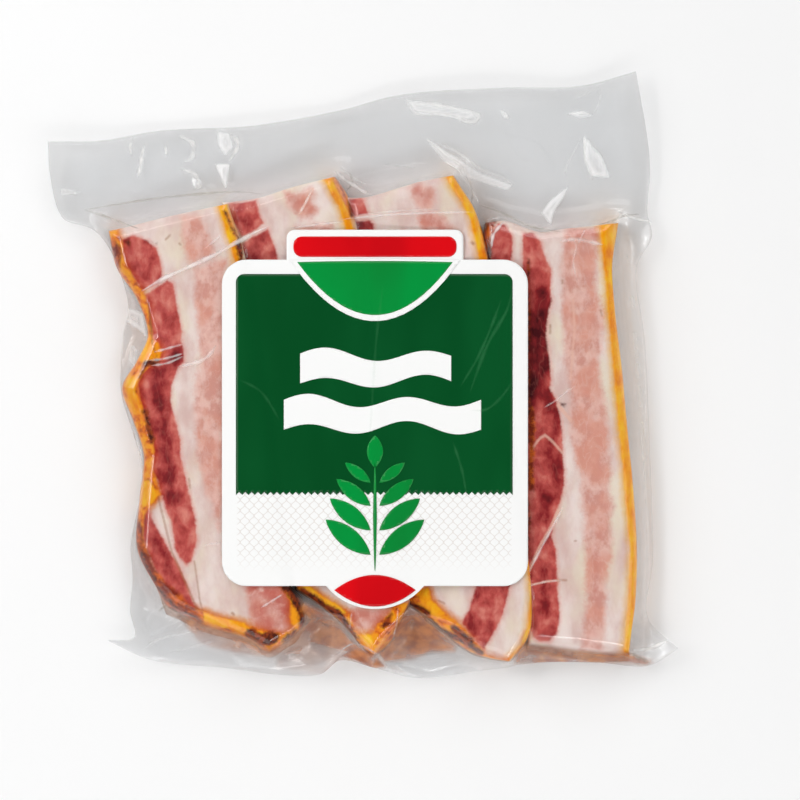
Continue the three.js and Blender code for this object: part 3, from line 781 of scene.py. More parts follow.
# The film bag
filmLook = {
    "across": 280, "along": 270,  # cells of the front
    "rings": [1, 0.985, 0.97, 0.95, 0.925, 0.9, 0.87, 0.84, 0.8, 0.76, 0.72, 0.68, 0.62],  # of the back
    "wave": 0.5, "waveSize": 17,  # of the border
    "crinkle": 0.09, "crinkleSize": 5, "crinkleShares": (0.45, 0.2),  # all over, and more in the border
    "facetSlope": 0.3,  # how steeply a facet rises to its height
    # its tint over the meat, in the border and along its rim; the rim's darker tint is painted shade, making
    # up for light that reaches under the raised edge
    "tint": [(0.992, 0.99, 0.986, 1), (0.939, 0.943, 0.947, 1), (0.885, 0.887, 0.889, 1)],
    # the white of the film's milky veil, and of the painted highlights on facets and the painted light in a
    # cleared place
    "hazeAndPaintedLight": rgb(255, 255, 255), "veil": 0.07,  # white of a facet, and its share all over the border
    # the white in the cleared place is painted light
    "rimHaze": 0.12, "paintedLightHaze": 0.6,  # share of the same along the edge and in a clearer place
    "juice": [rgb(210, 127, 50), rgb(156, 78, 24)],
    "roughness": 0.14, "streaks": (9, 3, 0.55, (1, 1, 1), 1.5),
    "sheen": (3.5, 0.7, 0.045),  # power and height of its rise at a slant, and its share face on
    "juicePatches": (6, 4, 0.5, (1, 1, 1), 0.35, 0.65),
    "wetPatches": (7, 3, 0.5, (2, 1, 1), 0.3, 0.65),
    "hazePatches": (6, 3, 0.5, (1, 1, 1), 0.3, 0.6),
    # lines, each with half its width, how much it shows and its points; what shows is white, partly stress
    # whitening and partly painted highlight
    "creases": [
        [0.6, 0.8, [[-81.5, 31], [-73.5, 35.5], [-55, 44], [-39, 53], [-35, 54.5]]],
        [0.4, 0.5, [[-77, 8.5], [-71.5, 10], [-66, 11.5]]],
        [0.4, 0.6, [[-79, 5.5], [-73.5, 6], [-66, 8]]],
        [0.4, 0.6, [[-78, 3.5], [-72, 4.5], [-66, 7]]],
        [0.6, 0.5, [[-68.5, 3], [-64, 4], [-59, 5.5], [-56, 8], [-54, 11]]],
        [0.4, 0.45, [[-8.5, 57], [-3, 58], [17.5, 59.5], [40.5, 60]]],
        [0.3, 0.3, [[-3, 59], [13.5, 60.5], [28.5, 61]]],
        [0.4, 0.5, [[-23.5, 59], [-21, 63.5], [-18.5, 68.5]]],
        [0.3, 0.4, [[-27, 54], [-16, 55.5], [-6.5, 56.5]]],
        [0.6, 0.6, [[-10.5, 75.5], [-6.5, 72.5], [-2, 69.5], [3.5, 66]]],
        [0.3, 0.4, [[-8, 76.5], [-4, 73.5], [2.5, 70]]],
        [0.3, 0.4, [[36.5, 73], [40.5, 68.5], [43.5, 62.5]]],
        [0.4, 0.5, [[30.5, 79.5], [35, 76], [38, 72.5]]],
        [0.5, 0.7, [[47.5, 47], [48, 51.5], [50, 54.5], [52, 56.5]]],
        [0.3, 0.5, [[45.5, 57], [49, 58], [52, 58.5]]],
        [0.6, 0.55, [[73, 49.5], [78.5, 50], [84, 49], [88.5, 48]]],
        [0.3, 0.22, [[75, 52.5], [78.5, 48], [77.5, 42], [79, 34.5]]],
        [0.3, 0.4, [[82, 54], [79, 48]]],
        [0.5, 0.6, [[94.5, 60.5], [100.5, 58.5], [107, 57]]],
        [0.3, 0.35, [[66.5, -12], [71.5, -9], [75, -6], [79, -3.5]]],
        [0.4, 0.5, [[61, -72.5], [65.5, -64], [70, -55.5], [74, -48]]],
        [0.3, 0.35, [[61, -77.5], [67.5, -76], [73.5, -75.5]]],
        [0.5, 0.7, [[99.5, -101.5], [105.5, -101.5], [109, -100], [113, -98]]],
        [0.6, 0.7, [[-81.4, 86], [-82.5, 79.7], [-83.6, 73.4]]],
        [0.5, 0.6, [[-73.7, 86.1], [-72.9, 81.2]]],
        [0.5, 0.55, [[-85.5, 87.5], [-86.6, 84.2], [-85.7, 81.6]]],
        [0.8, 0.5, [[-68.3, 89], [-63.3, 86.1], [-64, 80.5], [-66.6, 79.4]]],
        [0.6, 0.6, [[-68.3, 76.9], [-62.5, 74.7], [-60.9, 70.5], [-63.3, 69]]],
        [0.7, 0.6, [[-49.2, 89.7], [-46.3, 86.1], [-47.7, 82.7], [-49.8, 79.7]]],
        [0.4, 0.3, [[-113, 68.5], [-106, 67]]],
        [0.6, 0.45, [[15.5, 102.5], [19, 97.5], [30, 97], [41, 94], [43, 96.5], [36.5, 98.5], [26.5, 100.5],
                     [19, 101], [15.5, 102.5]]],
        [0.4, 0.4, [[52, 98], [54, 95]]],
        [0.4, 0.45, [[76, 97], [81, 97.5], [85, 97]]],
        [0.3, 0.25, [[88, 106.5], [87.5, 101], [85, 96]]],
        [0.4, 0.3, [[79, 103], [84, 105], [87.5, 107]]],
        [0.5, 0.5, [[23.5, 88], [30, 82.5], [36.5, 77], [39.5, 71]]],
        [0.6, 0.35, [[26, 87], [35, 83], [43, 77], [52.5, 73], [57, 70]]],
        [0.3, 0.25, [[7.5, 78.5], [19.5, 77]]],
        [0.3, 0.3, [[81, 88], [75, 75.5], [76, 74]]],
        [0.4, 0.4, [[82, 89.5], [83, 79], [85.5, 72.5]]],
        [0.4, 0.35, [[-81.5, -101.5], [-77, -98.5], [-63, -95]]],
        [0.4, 0.3, [[-72, -103], [-54.5, -98.5]]],
        [0.4, 0.4, [[-10.5, -104], [-3.5, -99.5], [4.5, -102.5], [9, -108]]],
        [0.3, 0.3, [[-58, 46.5], [-52, 51.5]]],
        [0.3, 0.4, [[13, -85.5], [12.5, -91], [11, -98]]],
        [0.3, 0.3, [[-4, -87], [-5, -94]]],
        [0.4, 0.5, [[-37.5, -85.5], [-33.5, -83], [-29.5, -80.5]]],
        [0.3, 0.3, [[-58.5, -62.5], [-52, -61.5]]],
    ],
    "labelCreases": [
        [0.5, 0.09, [[55, 31.5], [53, 24], [46, 11.5], [39.5, -6]]],
        [0.4, 0.09, [[51, 28], [46.5, 16], [42, 6], [36, -4]]],
        [0.4, 0.08, [[39.5, -13], [45.5, -12.5], [50.5, -8.5], [55, -2.5]]],
        [0.4, 0.06, [[7.5, 33.5], [5, 13], [3.5, -9], [2.5, -24]]],
        [0.4, 0.08, [[33, -24], [36.5, -35], [38, -43]]],
        [0.4, 0.06, [[-45.5, -1.5], [-37.5, -6], [-30.5, -16.5]]],
    ],
    # outlines of painted light, each with how far it clears the border's tint and whitens it, lifting the
    # shade beside a slab
    "paintedLightAreas": [
        [0.42, [[93.5, 52], [100, -30], [101.5, -60], [101, -92], [108, -92], [109, -68], [108, -31],
                [106, 13], [103, 40], [101, 52]]],
    ],
    # outlines, each with its height and how white it is; the rise is real, the white is painted highlight
    "facets": [
        [0.8, 0.75, [[-54.8, 78.6], [-49.8, 78.6], [-51.1, 69.7]]],
        [0.6, 0.6, [[-54, 90.5], [-49.8, 89.7], [-48.5, 84.7], [-51.2, 82], [-53.5, 85.5]]],
        [1, 0.7, [[82, 88.9], [88.5, 81.5], [91.6, 73.7], [85.4, 74.5], [82.3, 80]]],
        [1, 0.65, [[76, 70.1], [69.7, 65.1], [66.3, 60.4], [69.4, 56.1], [70.5, 60.4], [74.4, 66.6]]],
        [0.8, 0.5, [[15.8, 102.3], [19.6, 97.9], [38.5, 95.1], [42.4, 96.1], [40, 98.2], [22.8, 101.4]]],
        [0.8, 0.5, [[23.6, 87.8], [43.1, 75.3], [55.6, 70.6], [53.3, 69], [38.5, 73.7], [29.8, 80]]],
        [0.3, 0.3, [[-64, 74], [-60.5, 73], [-59.5, 70], [-63, 69.5]]],
        [0.4, 0.45, [[75.5, 97.5], [80.7, 98.3], [85.6, 96.6], [80.5, 95.6]]],
        [0.4, 0.45, [[51, 98.5], [53, 97.5], [54.5, 95], [52, 95.5]]],
        [0.4, 0.3, [[-112, 70], [-104.5, 68], [-112, 66.5]]],
        [0.4, 0.14, [[-82.5, -90.5], [-75, -83], [-67.5, -91], [-79, -98]]],
        [0.4, 0.16, [[-49, -103.5], [-23.5, -102.5], [-19.5, -108], [-45.5, -108]]],
        [0.5, 0.12, [[102.5, -83], [106, -87.5], [111.5, -98], [104.5, -98]]],
        [0.4, 0.16, [[12, -107], [28.5, -103.5], [39.5, -106.5], [25, -110.5]]],
        [0.6, 0.3, [[-86, 12], [-83, 9.5], [-84.5, 3], [-87, 5.5]]],
        [0.6, 0.4, [[-87.3, 25.3], [-81.4, 22.8], [-79.8, 13.5], [-81.6, 15.7], [-88.2, 20.5]]],
        [0.5, 0.25, [[-84, -20], [-81.5, -30], [-82.3, -45], [-84.3, -40], [-83.5, -28]]],
        [0.8, 0.2, [[103, 42.5], [106, 28], [102.5, 20.5]]],
        [0.6, 0.1, [[50.5, 91], [65.5, 87], [73, 78], [58, 79.5]]],
        [0.6, 0.08, [[-34.5, 91], [-19.5, 94.5], [-12, 87], [-27, 83.5]]],
    ],
    # outlines, each with how much juice shows in it
    "pools": [
        [0.9, [[-22, -84], [-14, -87.5], [-9, -91], [-14, -92], [-20, -89.5], [-23, -87]]],
        [0.75, [[56.5, -103.5], [59.5, -99.5], [67.5, -100], [87.5, -102.5], [98, -102.5], [107, -106],
                [105.5, -107.5], [87.5, -106.5], [65.5, -107], [56.5, -106.5]]],
        [0.8, [[5.5, -102.5], [10.5, -98], [13, -90.5], [16.5, -85.5], [23, -89], [28.5, -95], [35, -99.5],
               [34, -102.5], [25, -102.5], [17.5, -105.5], [8, -106]]],
        [0.65, [[-27, -98], [-22, -93.5], [-19.5, -89], [-14, -89.5], [-9, -92.5], [-5, -98], [3.5, -103.5],
                [6.5, -106.5], [-19, -99.5], [-23.5, -103.5], [-29, -103.5]]],
        [0.5, [[-68.5, -89], [-42, -95], [-37.5, -100], [-29, -99.5], [-23.5, -96.5], [-20.5, -101.5],
               [-27, -104], [-45.5, -103.5], [-60.5, -99.5]]],
        [0.28, [[-32, -103], [-20, -99.5], [-9, -102.5], [4, -104.5], [2, -109], [-16, -111], [-32, -109]]],
        [0.95, [[-8.5, -104], [-3, -101], [3.5, -102.5], [8, -108], [2.5, -108.5], [-3, -105.5]]],
    ],
    # lines where two films meet, as the creases
    "joins": [
        [0.35, 0.5, [[-103.5, 61.5], [-95.5, 59], [-88, 56], [-82.5, 54]]],
        [0.35, 0.5, [[-103.5, 61.5], [-75, 66], [-45.5, 68], [-37.5, 67]]],
        [0.35, 0.5, [[43.5, 63], [52, 60], [62, 55], [73, 53]]],
        [0.3, 0.4, [[39.5, 72.5], [40.5, 67], [40, 63.5]]],
        [0.35, 0.5, [[87, 55.5], [92, 57], [96.5, 59], [102.5, 60]]],
        [0.6, 0.5, [[99, -102.5], [103, -105], [106.5, -106.5]]],
        [0.35, 0.5, [[-76, -87.5], [-73, -85.5], [-68.5, -88]]],
        [0.35, 0.5, [[-5, 75.5], [-4, 71.5], [-6, 68.5]]],
    ],
}


def filmLift(x, y, away):  # the film's own waves and little roofs, over the smooth drape
    look = filmLook
    allOver, border = look["crinkleShares"]
    lift = away * look["wave"] * ripple(x, y, look["waveSize"], 2.5)
    lift += (allOver + border * away) * look["crinkle"] * ripple(x, y, look["crinkleSize"], 9.1)
    for high, white, outline in look["facets"]:
        lift += np.minimum(high, look["facetSlope"] * np.clip(insideOutline(x, y, outline), 0, None))
    return lift * ease(outsideLabel(x, y), 0, 4)


def filmMaterial():
    look = filmLook
    material, tree = newMaterial("clearFilm")
    tone = mixed(tree, stored(tree, "loose"), *look["tint"][:2])
    # painted shade: darker tint along the rim
    tone = mixed(tree, stored(tree, "edge"), tone, look["tint"][2])
    bump = bumped(tree, clouds(tree, *look["streaks"]), 0.2, 0.5)
    gloss = {0: (1, 1, 1, 1), "Roughness": look["roughness"], "Normal": bump}
    gloss = addNode(tree, "ShaderNodeBsdfAnisotropic", gloss).outputs[0]
    facing = addNode(tree, "ShaderNodeLayerWeight", {0: 0.5, 1: bump}).outputs["Facing"]
    power, rise, least = look["sheen"]
    sheen = calc(tree, "MULTIPLY_ADD", calc(tree, "POWER", facing, power), rise, least)
    body = blended(tree, sheen, seeThrough(tree, tone), gloss)
    stain = mixed(tree, patches(tree, look["juicePatches"]), *look["juice"])
    wet = product(tree, stored(tree, "juice"), patches(tree, look["wetPatches"], 0.45))
    body = blended(tree, wet, body, diffuse(tree, stain))
    # milky veil over the border, with painted highlights and painted light from the stored white
    milkAndPaintedLight = product(tree, stored(tree, "hazeAndPaintedLight"), patches(tree, look["hazePatches"], 0.88))
    milkAndPaintedLight = calc(tree, "MAXIMUM", milkAndPaintedLight, product(tree, stored(tree, "loose"), look["veil"]))
    finishMaterial(tree, blended(tree, milkAndPaintedLight, body, diffuse(tree, look["hazeAndPaintedLight"])))
    return material


def buildFilm(material):
    look, shape = filmLook, pouchShape
    bm = wrappedGrid(look["across"], look["along"], [(size, 1) for size in look["rings"]])
    points = readPoints(bm.verts)
    u, v = (points[:, 0] + 1) / 2, (points[:, 1] + 1) / 2
    place = patch(pouchEdges, u, v)
    x, y = place[:, 0], np.maximum(place[:, 1], cadBox[0].y / mm + 0.02)  # kept inside the solids' box
    front, back, away = filmHeights(x, y, place[:, 2])
    lift = filmLift(x, y, away)
    isBack = points[:, 2] > 0.5
    front = np.maximum(front + lift, shape["lowestFront"])
    back = np.maximum(back + away * lift, shape["lowestBack"])
    placePoints(bm.verts, x, y, np.where(isBack, back, front))
    bmesh.ops.recalc_face_normals(bm, faces=bm.faces[:])
    juice, hazeAndPaintedLight = np.zeros(x.shape), np.zeros(x.shape)
    for strength, outline in look["pools"]:
        juice = np.maximum(juice, strength * ease(insideOutline(x, y, outline), -1.2, 1.2))
    # painted highlight on each facet, whitest along its folds
    for high, white, outline in look["facets"]:  # whitest along its folds
        depth = insideOutline(x, y, outline)
        hazeAndPaintedLight = np.maximum(hazeAndPaintedLight, white * ease(depth, -0.7, 0.5) * (1 - 0.45 * ease(depth, 0.6, 2.2)))
    loose = ease(away, 0.01, 0.3)
    # painted light: the border's tint cleared and whitened where a slab's shade falls
    for share, outline in look["paintedLightAreas"]:
        depth = insideOutline(x, y, outline)
        loose *= 1 - share * ease(depth, -1.5, 1.5)
        hazeAndPaintedLight = np.maximum(hazeAndPaintedLight, look["paintedLightHaze"] * share * ease(depth, 0, 4))
    rim = ease(1 - np.maximum(abs(points[:, 0]), abs(points[:, 1])), 0.012, 0)
    hazeAndPaintedLight = np.maximum(hazeAndPaintedLight, look["rimHaze"] * rim)
    # painted shade: where the rim's darker tint lies
    edge = np.maximum.reduce([ease(u, 0.06, 0), ease(v, 0.965, 1), ease(u, 0.95, 1) * ease(y, 42, 55)])
    juice, hazeAndPaintedLight = np.where(isBack, 0, juice), np.where(isBack, 0, hazeAndPaintedLight)
    values = {"juice": juice, "hazeAndPaintedLight": hazeAndPaintedLight, "loose": loose, "edge": edge}
    return addPiece("filmBag", bm, material, "pouch", values)


bag = buildFilm(filmMaterial())
print("stage: film bag", len(bag.data.polygons))

bagTree = BVHTree.FromPolygons([v.co for v in bag.data.vertices], [p.vertices for p in bag.data.polygons])


def filmSurface(x, y):  # height of the front film over any points, or the last one's past its edge
    heights, last = [], float(pouchShape["seamHeight"])
    for a, b in zip(x, y):
        spot = bagTree.ray_cast(Vector((a * mm, b * mm, 1)), Vector((0, 0, -1)))[0]
        last = spot.z / mm if spot else last
        heights.append(last)
    return np.array(heights)


# The film's creases, thin ribs that lie on it, their white partly stress whitening and partly painted
# highlight
creaseLook = {
    "step": 0.7,  # between sections
    "across": 6,  # cells over the width
    "widen": 1.7, "fade": 0.95,  # of every crease's width and of its white
    "gap": 0.04, "rise": 0.12, "joinRise": 0.06, "labelRise": 0.03,  # of a rib's foot and of its crest
    # the creases' white is partly stress whitening and partly painted highlight; the glint is painted
    # highlight over the print
    "film": rgb(252, 250, 248), "join": rgb(176, 166, 148), "glint": rgb(130, 235, 165),
    "patches": (4, 2, 0.5, (1, 1, 1), 0.3, 0.6),
}


def creaseMaterial(name, colour):
    material, tree = newMaterial(name)
    # white of a crease, partly painted highlight
    white = principled(tree, {"Base Color": colour, "Roughness": 0.25, "Specular IOR Level": 0.6})
    share = product(tree, stored(tree, "white"), patches(tree, creaseLook["patches"], 0.6))
    finishMaterial(tree, blended(tree, share, seeThrough(tree, (1, 1, 1, 1)), white))
    return material


def buildRibs(name, lines, surface, rise, material, replaced):
    look = creaseLook
    bm = bmesh.new()
    strengths = []
    for half, strength, points in lines:
        curve = smoothCurve(points, 10)
        length = np.linalg.norm(np.diff(curve[0], axis=0), axis=1).sum()
        cells = max(int(length / look["step"]), 4)
        made = bmesh.ops.create_grid(bm, x_segments=cells, y_segments=look["across"], size=1)["verts"]
        grid = readPoints(made)
        t, side = (grid[:, 0] + 1) / 2, grid[:, 1]
        mid = onCurve(curve, t)
        ahead = onCurve(curve, np.minimum(t + 0.02, 1)) - onCurve(curve, np.maximum(t - 0.02, 0))
        ahead /= np.linalg.norm(ahead, axis=1)[:, None]
        taper = np.clip(np.minimum(t, 1 - t) * 5, 0, 1) ** 0.7 * (0.8 + 0.2 * np.sin(t * 19 + half * 40))
        reach = side * half * look["widen"] * (0.15 + taper)
        x, y = mid[:, 0] - ahead[:, 1] * reach, mid[:, 1] + ahead[:, 0] * reach
        bell = (1 - side ** 2) ** 1.5
        placePoints(made, x, y, surface(x, y) + look["gap"] + rise * bell * taper)
        strengths += list(look["fade"] * strength * bell * (0.35 + 0.65 * taper))
    return addPiece(name, bm, material, replaced, {"white": strengths})


ribs = buildRibs("filmCreases", filmLook["creases"], filmSurface, creaseLook["rise"],
                 creaseMaterial("creaseWhiteAndHighlight", creaseLook["film"]), "pouch")
buildRibs("filmSeams", filmLook["joins"], filmSurface, creaseLook["joinRise"],
          creaseMaterial("filmSeam", creaseLook["join"]), "pouch")
print("stage: creases", len(ribs.data.polygons))

# The label
labelLook = {
    "paper": rgb(254, 254, 253), "lattice": rgb(234, 229, 225),
    "latticePitch": (3.4, 3.9),  # across and along
    "latticeLine": (0.01, 0.12),  # from its middle to where it ends, in pitches
    "latticeBox": (-46.6, 55.1, -74, -43),  # left, right, bottom, top
    "latticeFades": (1, 1, 12, 1),  # how far it fades in from each
    "deepGreen": [rgb(0, 76, 32), rgb(4, 84, 38)],
    "brightGreen": [rgb(0, 150, 62), rgb(8, 134, 54)],
    "red": [rgb(228, 8, 20), rgb(206, 6, 18)],
    "inkPatches": (26, 2, 0.5, (1, 3, 1), 0.35, 0.65),
    "gloss": 0.28, "grain": (14, 2),
    "cell": 1.2,  # of every sheet's grid
    "layers": [(0.12, 0.06), (0.19, 0.05), (0.25, 0.05)],  # top above the label's face, and thickness
    "glintLift": 0.28,  # of the film's creases over the print
    "panel": (-46.6, 55.1, -44, 37.2), "panelCorner": 3, "teeth": 44, "toothDepth": 1.1,
    "bar": (-25.5, 43.5, 34.5, 51, 3.2),
    "crest": [(4.5, 42.4, 31.5, 0.4, 22.5), (4.5, 41.6, 28.6, 0.4, 19.5)],  # its edge and its field
    "rashers": [(-23, 32.5, 2.5, 5, 2.1, 1.5), (-29, 43.5, -14.5, 5, 2.1, 2)],
    "stem": (4.5, -52, 0.7, 20, 20), "topLeaf": (4.5, -34, 12, 3, 90),
    "leafPairs": [(-66, 21), (-57, 19), (-48, 16), (-39.5, 12)],  # height of a pair and length of its leaves
    "leafWidth": 0.17, "leafLean": 52, "leafOut": 1.6,  # share of the length, degrees, off the stem
    "badge": (4.5, -79, 15, 5.6, 6),
}


def labelTop(x, y):
    return filmHeights(x, y)[0] + labelShape["lift"] + labelShape["thickness"]


def arc(cx, cy, radius, start, end, steps=10):
    return [(cx + radius * math.cos(math.radians(a)), cy + radius * math.sin(math.radians(a)))
            for a in np.linspace(start, end, steps)]


def labelOutline():
    shape = labelShape
    cx, cy = shape["centre"]
    right, top, r = shape["width"] / 2, shape["height"] / 2, shape["corner"]
    half, drop = shape["badgeWidth"] / 2, shape["badgeDrop"]
    radius = (half ** 2 + drop ** 2) / (2 * drop)
    spread = math.degrees(math.asin(half / radius))
    tab, high, t = shape["tabWidth"] / 2, shape["tabHeight"], shape["tabCorner"]
    points = arc(-right + r, -top + r, r, 180, 270)
    points += arc(0, -top - drop + radius, radius, 270 - spread, 270 + spread, 16)
    points += arc(right - r, -top + r, r, 270, 360)
    points += arc(right - r, top - r, r, 0, 90)
    points += [(tab, top)] + arc(tab - t, top + high - t, t, 0, 90, 6)
    points += arc(-tab + t, top + high - t, t, 90, 180, 6) + [(-tab, top)]
    points += arc(-right + r, top - r, r, 90, 180)
    return [(x + cx, y + cy) for x, y in points]


def buildSheet(name, outlines, lift, thickness, material):  # flat outlines laid on the label's face
    bm = bmesh.new()
    for outline in outlines:
        bm.faces.new([bm.verts.new((x, y, 0)) for x, y in outline])
    bmesh.ops.recalc_face_normals(bm, faces=bm.faces[:])
    for face in bm.faces:
        if face.normal.z < 0:
            face.normal_flip()
    points, cell = readPoints(bm.verts), labelLook["cell"]
    for axis in (0, 1):  # every sheet is cut on the same lines, so one lies evenly on another
        low, high = points[:, axis].min(), points[:, axis].max()
        for at in np.arange(math.ceil(low / cell) * cell + 0.017, high, cell):
            spot, way = [0, 0, 0], [0, 0, 0]
            spot[axis], way[axis] = at, 1
            whole = bm.verts[:] + bm.edges[:] + bm.faces[:]
            bmesh.ops.bisect_plane(bm, geom=whole, plane_co=spot, plane_no=way)
    top = bmesh.ops.extrude_face_region(bm, geom=bm.faces[:])["geom"]
    bmesh.ops.translate(bm, verts=[g for g in top if isinstance(g, bmesh.types.BMVert)], vec=(0, 0, 1))
    x, y, upper = readPoints(bm.verts).T
    placePoints(bm.verts, x, y, labelTop(x, y) + lift - thickness * (1 - upper))
    bmesh.ops.recalc_face_normals(bm, faces=bm.faces[:])
    piece = addPiece(name, bm, material, "label")
    for polygon in piece.data.polygons:
        polygon.use_smooth = abs(polygon.normal.z) > 0.5


def latticeShare(tree):  # two families of wavy lines that meet in scales, faded out towards a box
    look = labelLook
    place = addNode(tree, "ShaderNodeTexCoord").outputs["Object"]
    x, y = addNode(tree, "ShaderNodeSeparateXYZ", {0: place}).outputs[:2]
    wide, tall = (pitch * mm for pitch in look["latticePitch"])
    swing = product(tree, calc(tree, "SINE", product(tree, y, 2 * math.pi / tall)), 0.25)
    lines = []
    for sign, shift in (("ADD", 0.5), ("SUBTRACT", 0)):
        turn = total(tree, calc(tree, sign, calc(tree, "DIVIDE", x, wide), swing), shift + 100)
        off = calc(tree, "ABSOLUTE", calc(tree, "SUBTRACT", calc(tree, "FRACT", turn), 0.5))
        lines.append(fade(tree, off, *look["latticeLine"], 1, 0))
    net = calc(tree, "MAXIMUM", *lines)
    x0, x1, y0, y1 = (value * mm for value in look["latticeBox"])
    left, right, bottom, top = (value * mm for value in look["latticeFades"])
    sideways = product(tree, fade(tree, x, x0, x0 + left), fade(tree, x, x1 - right, x1, 1, 0))
    upwards = product(tree, fade(tree, y, y0, y0 + bottom), fade(tree, y, y1 - top, y1, 1, 0))
    return product(tree, product(tree, net, sideways), upwards)


def inkShare(tree):
    return patches(tree, labelLook["inkPatches"])


def labelMaterial(name, share, colours):  # glossy, of two colours
    material, tree = newMaterial(name)
    finishMaterial(tree, principled(tree, {
        "Base Color": mixed(tree, share(tree), *colours), "Roughness": labelLook["gloss"],
        "Specular IOR Level": 0.3, "Normal": bumped(tree, clouds(tree, *labelLook["grain"]), 0.12, 0.3),
    }))
    return material


def roundBar(x0, y0, x1, y1, r):
    corners = ((x1 - r, y1 - r, 0), (x0 + r, y1 - r, 90), (x0 + r, y0 + r, 180), (x1 - r, y0 + r, 270))
    return [point for x, y, start in corners for point in arc(x, y, r, start, start + 90, 8)]


def greenPanel():  # its upper corners round, its lower edge toothed
    look = labelLook
    (x0, x1, y0, y1), r, ends = look["panel"], look["panelCorner"], 2 * look["teeth"]
    points = arc(x1 - r, y1 - r, r, 0, 90, 8) + arc(x0 + r, y1 - r, r, 90, 180, 8)
    return points + [(x0 + (x1 - x0) * k / ends, y0 + k % 2 * look["toothDepth"]) for k in range(ends + 1)]


def wavyStrip(x0, x1, y, half, swing, waves):  # a rasher seen flat, its ends cut square
    xs = np.linspace(x0, x1, 48)
    turn = (xs - x0) / (x1 - x0) * waves * 2 * math.pi
    mid = y + swing * np.sin(turn)
    width = half * (1 + 0.12 * np.sin(turn * 0.5 + 1))
    upper = [(a, b + w) for a, b, w in zip(xs, mid, width)]
    lower = [(a, b - w) for a, b, w in zip(xs, mid, width)]
    return lower + upper[::-1]


def leaf(x, y, length, wide, angle):
    t = np.linspace(0, 1, 14)
    half = wide * np.sin(t * math.pi) ** 0.8
    body = np.concatenate([np.stack([t * length, half], -1), np.stack([t * length, -half], -1)[::-1][1:-1]])
    c, s = math.cos(math.radians(angle)), math.sin(math.radians(angle))
    return [(x + a * c - b * s, y + a * s + b * c) for a, b in body]


def lens(cx, cy, half, up, down):  # two flat arches that share their ends
    top = [(cx + half * a, cy + up * (1 - a * a)) for a in np.linspace(1, -1, 22)]
    bottom = [(cx + half * a, cy - down * (1 - a * a)) for a in np.linspace(-1, 1, 22)][1:-1]
    return top + bottom


def buildLabel():
    look = labelLook
    paper = labelMaterial("whiteLabelStock", latticeShare, [look["paper"], look["lattice"]])
    deepInk, brightInk, redInk = (labelMaterial(name + "Ink", inkShare, look[name])
                                  for name in ("deepGreen", "brightGreen", "red"))
    first, second, third = look["layers"]
    edge, field = look["crest"]
    sprig = [lens(*look["stem"]), leaf(*look["topLeaf"])]
    for height, length in look["leafPairs"]:
        for side in (-1, 1):
            out, turn = look["stem"][0] + side * look["leafOut"], 90 - side * look["leafLean"]
            sprig.append(leaf(out, height, length, length * look["leafWidth"], turn))
    buildSheet("labelSheet", [labelOutline()], 0, labelShape["thickness"], paper)
    buildSheet("printPanel", [greenPanel()], *first, deepInk)
    buildSheet("printBar", [roundBar(*look["bar"])], *first, redInk)
    buildSheet("printCrestEdge", [lens(*edge)], *second, paper)
    buildSheet("printCrest", [lens(*field)], *third, brightInk)
    buildSheet("printRashers", [wavyStrip(*strip) for strip in look["rashers"]], *second, paper)
    buildSheet("printSprig", sprig, *second, brightInk)
    buildSheet("printBadge", [lens(*look["badge"])], *second, redInk)
    buildRibs("labelCreases", filmLook["labelCreases"], lambda x, y: labelTop(x, y) + look["glintLift"],
              creaseLook["labelRise"], creaseMaterial("labelGlint", creaseLook["glint"]), "label")


buildLabel()
print("stage: label")

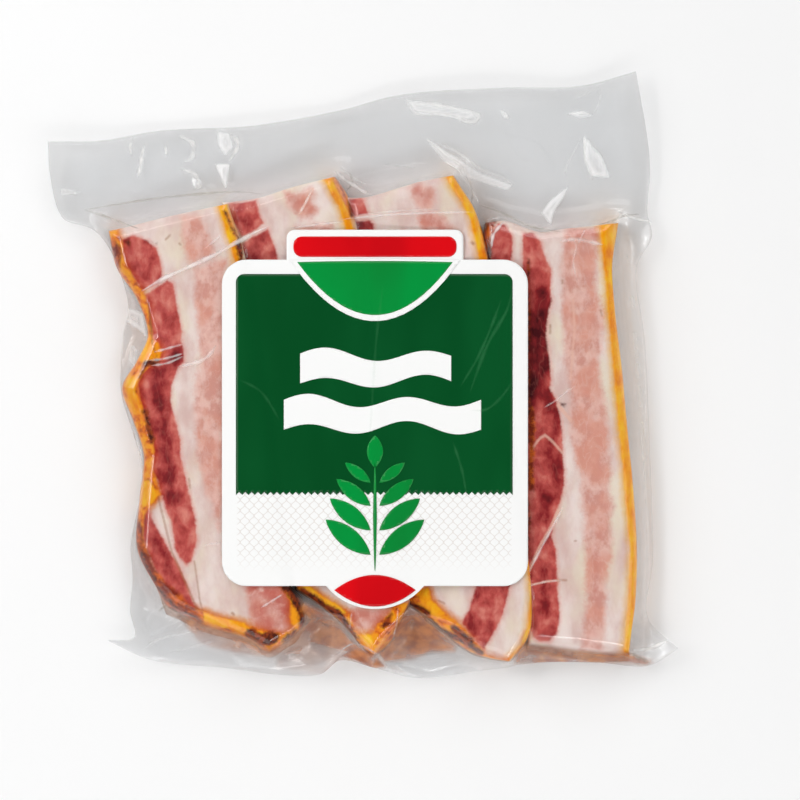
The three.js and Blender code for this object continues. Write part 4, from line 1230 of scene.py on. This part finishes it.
# The floor, the light and the camera
studio = {
    "floor": [rgb(252, 252, 252), rgb(250, 250, 250)], "floorHalf": 3,  # metres
    "sky": (0.5, 0.03),  # at the horizon and overhead
    "lights": [  # compass turn, lean from upright, distance, size across and along, power
        (150, 55, 1.4, 1.2, 0.8, 6.8), (70, 55, 1.4, 1.2, 0.8, 6.3), (-30, 55, 1.4, 1.2, 0.8, 4.4),
        (240, 55, 1.4, 1.2, 0.8, 3.6), (165, 40, 1.15, 0.7, 0.16, 2.6), (-70, 42, 1.15, 0.7, 0.16, 2.4),
    ],
    "cameraHeight": 1.2, "sensor": 36,
    "viewWidth": 0.296, "viewHeight": 0.008,  # what the picture spans across, and how high that is measured
    "viewCentre": (0.0137, -0.0091),
}


def buildStudio():
    look, scene = studio, bpy.context.scene
    material, tree = newMaterial("paleFloor")
    colour = mixed(tree, clouds(tree, 60, 2), *look["floor"])
    finishMaterial(tree, principled(tree, {"Base Color": colour, "Roughness": 0.8}))
    bm = bmesh.new()
    bmesh.ops.create_grid(bm, x_segments=4, y_segments=4, size=look["floorHalf"])
    floor = addMesh("floor", bm, material)
    scene.world = bpy.data.worlds.new("studio")
    scene.world.use_nodes = True
    sky = scene.world.node_tree
    direction = addNode(sky, "ShaderNodeTexCoord").outputs["Generated"]
    up = addNode(sky, "ShaderNodeSeparateXYZ", {0: direction}).outputs[2]
    sky.links.new(fade(sky, up, 0.2, 0.9, *look["sky"]), sky.nodes["Background"].inputs[1])
    sky.nodes["Background"].inputs[0].default_value = (1, 1, 1, 1)
    for number, (turn, lean, far, wide, deep, power) in enumerate(look["lights"]):
        lamp = bpy.data.lights.new("softbox%d" % number, "AREA")
        lamp.shape, lamp.size, lamp.size_y, lamp.energy = "RECTANGLE", wide, deep, power
        box = bpy.data.objects.new(lamp.name, lamp)
        a, b = math.radians(turn), math.radians(lean)
        box.location = Vector((math.cos(a) * math.sin(b), math.sin(a) * math.sin(b), math.cos(b))) * far
        box.rotation_euler = (-box.location).to_track_quat("-Z", "Y").to_euler()
        box.visible_camera = False
        scene.collection.objects.link(box)
    camera = bpy.data.cameras.new("camera")
    camera.sensor_width = look["sensor"]
    camera.lens = look["sensor"] * (look["cameraHeight"] - look["viewHeight"]) / look["viewWidth"]
    camera.clip_start, camera.clip_end = 0.01, 20
    eye = bpy.data.objects.new("camera", camera)
    eye.location = (*look["viewCentre"], look["cameraHeight"])
    scene.collection.objects.link(eye)
    scene.camera = eye
    scene.view_settings.view_transform = "Standard"


buildStudio()
print("stage: studio")
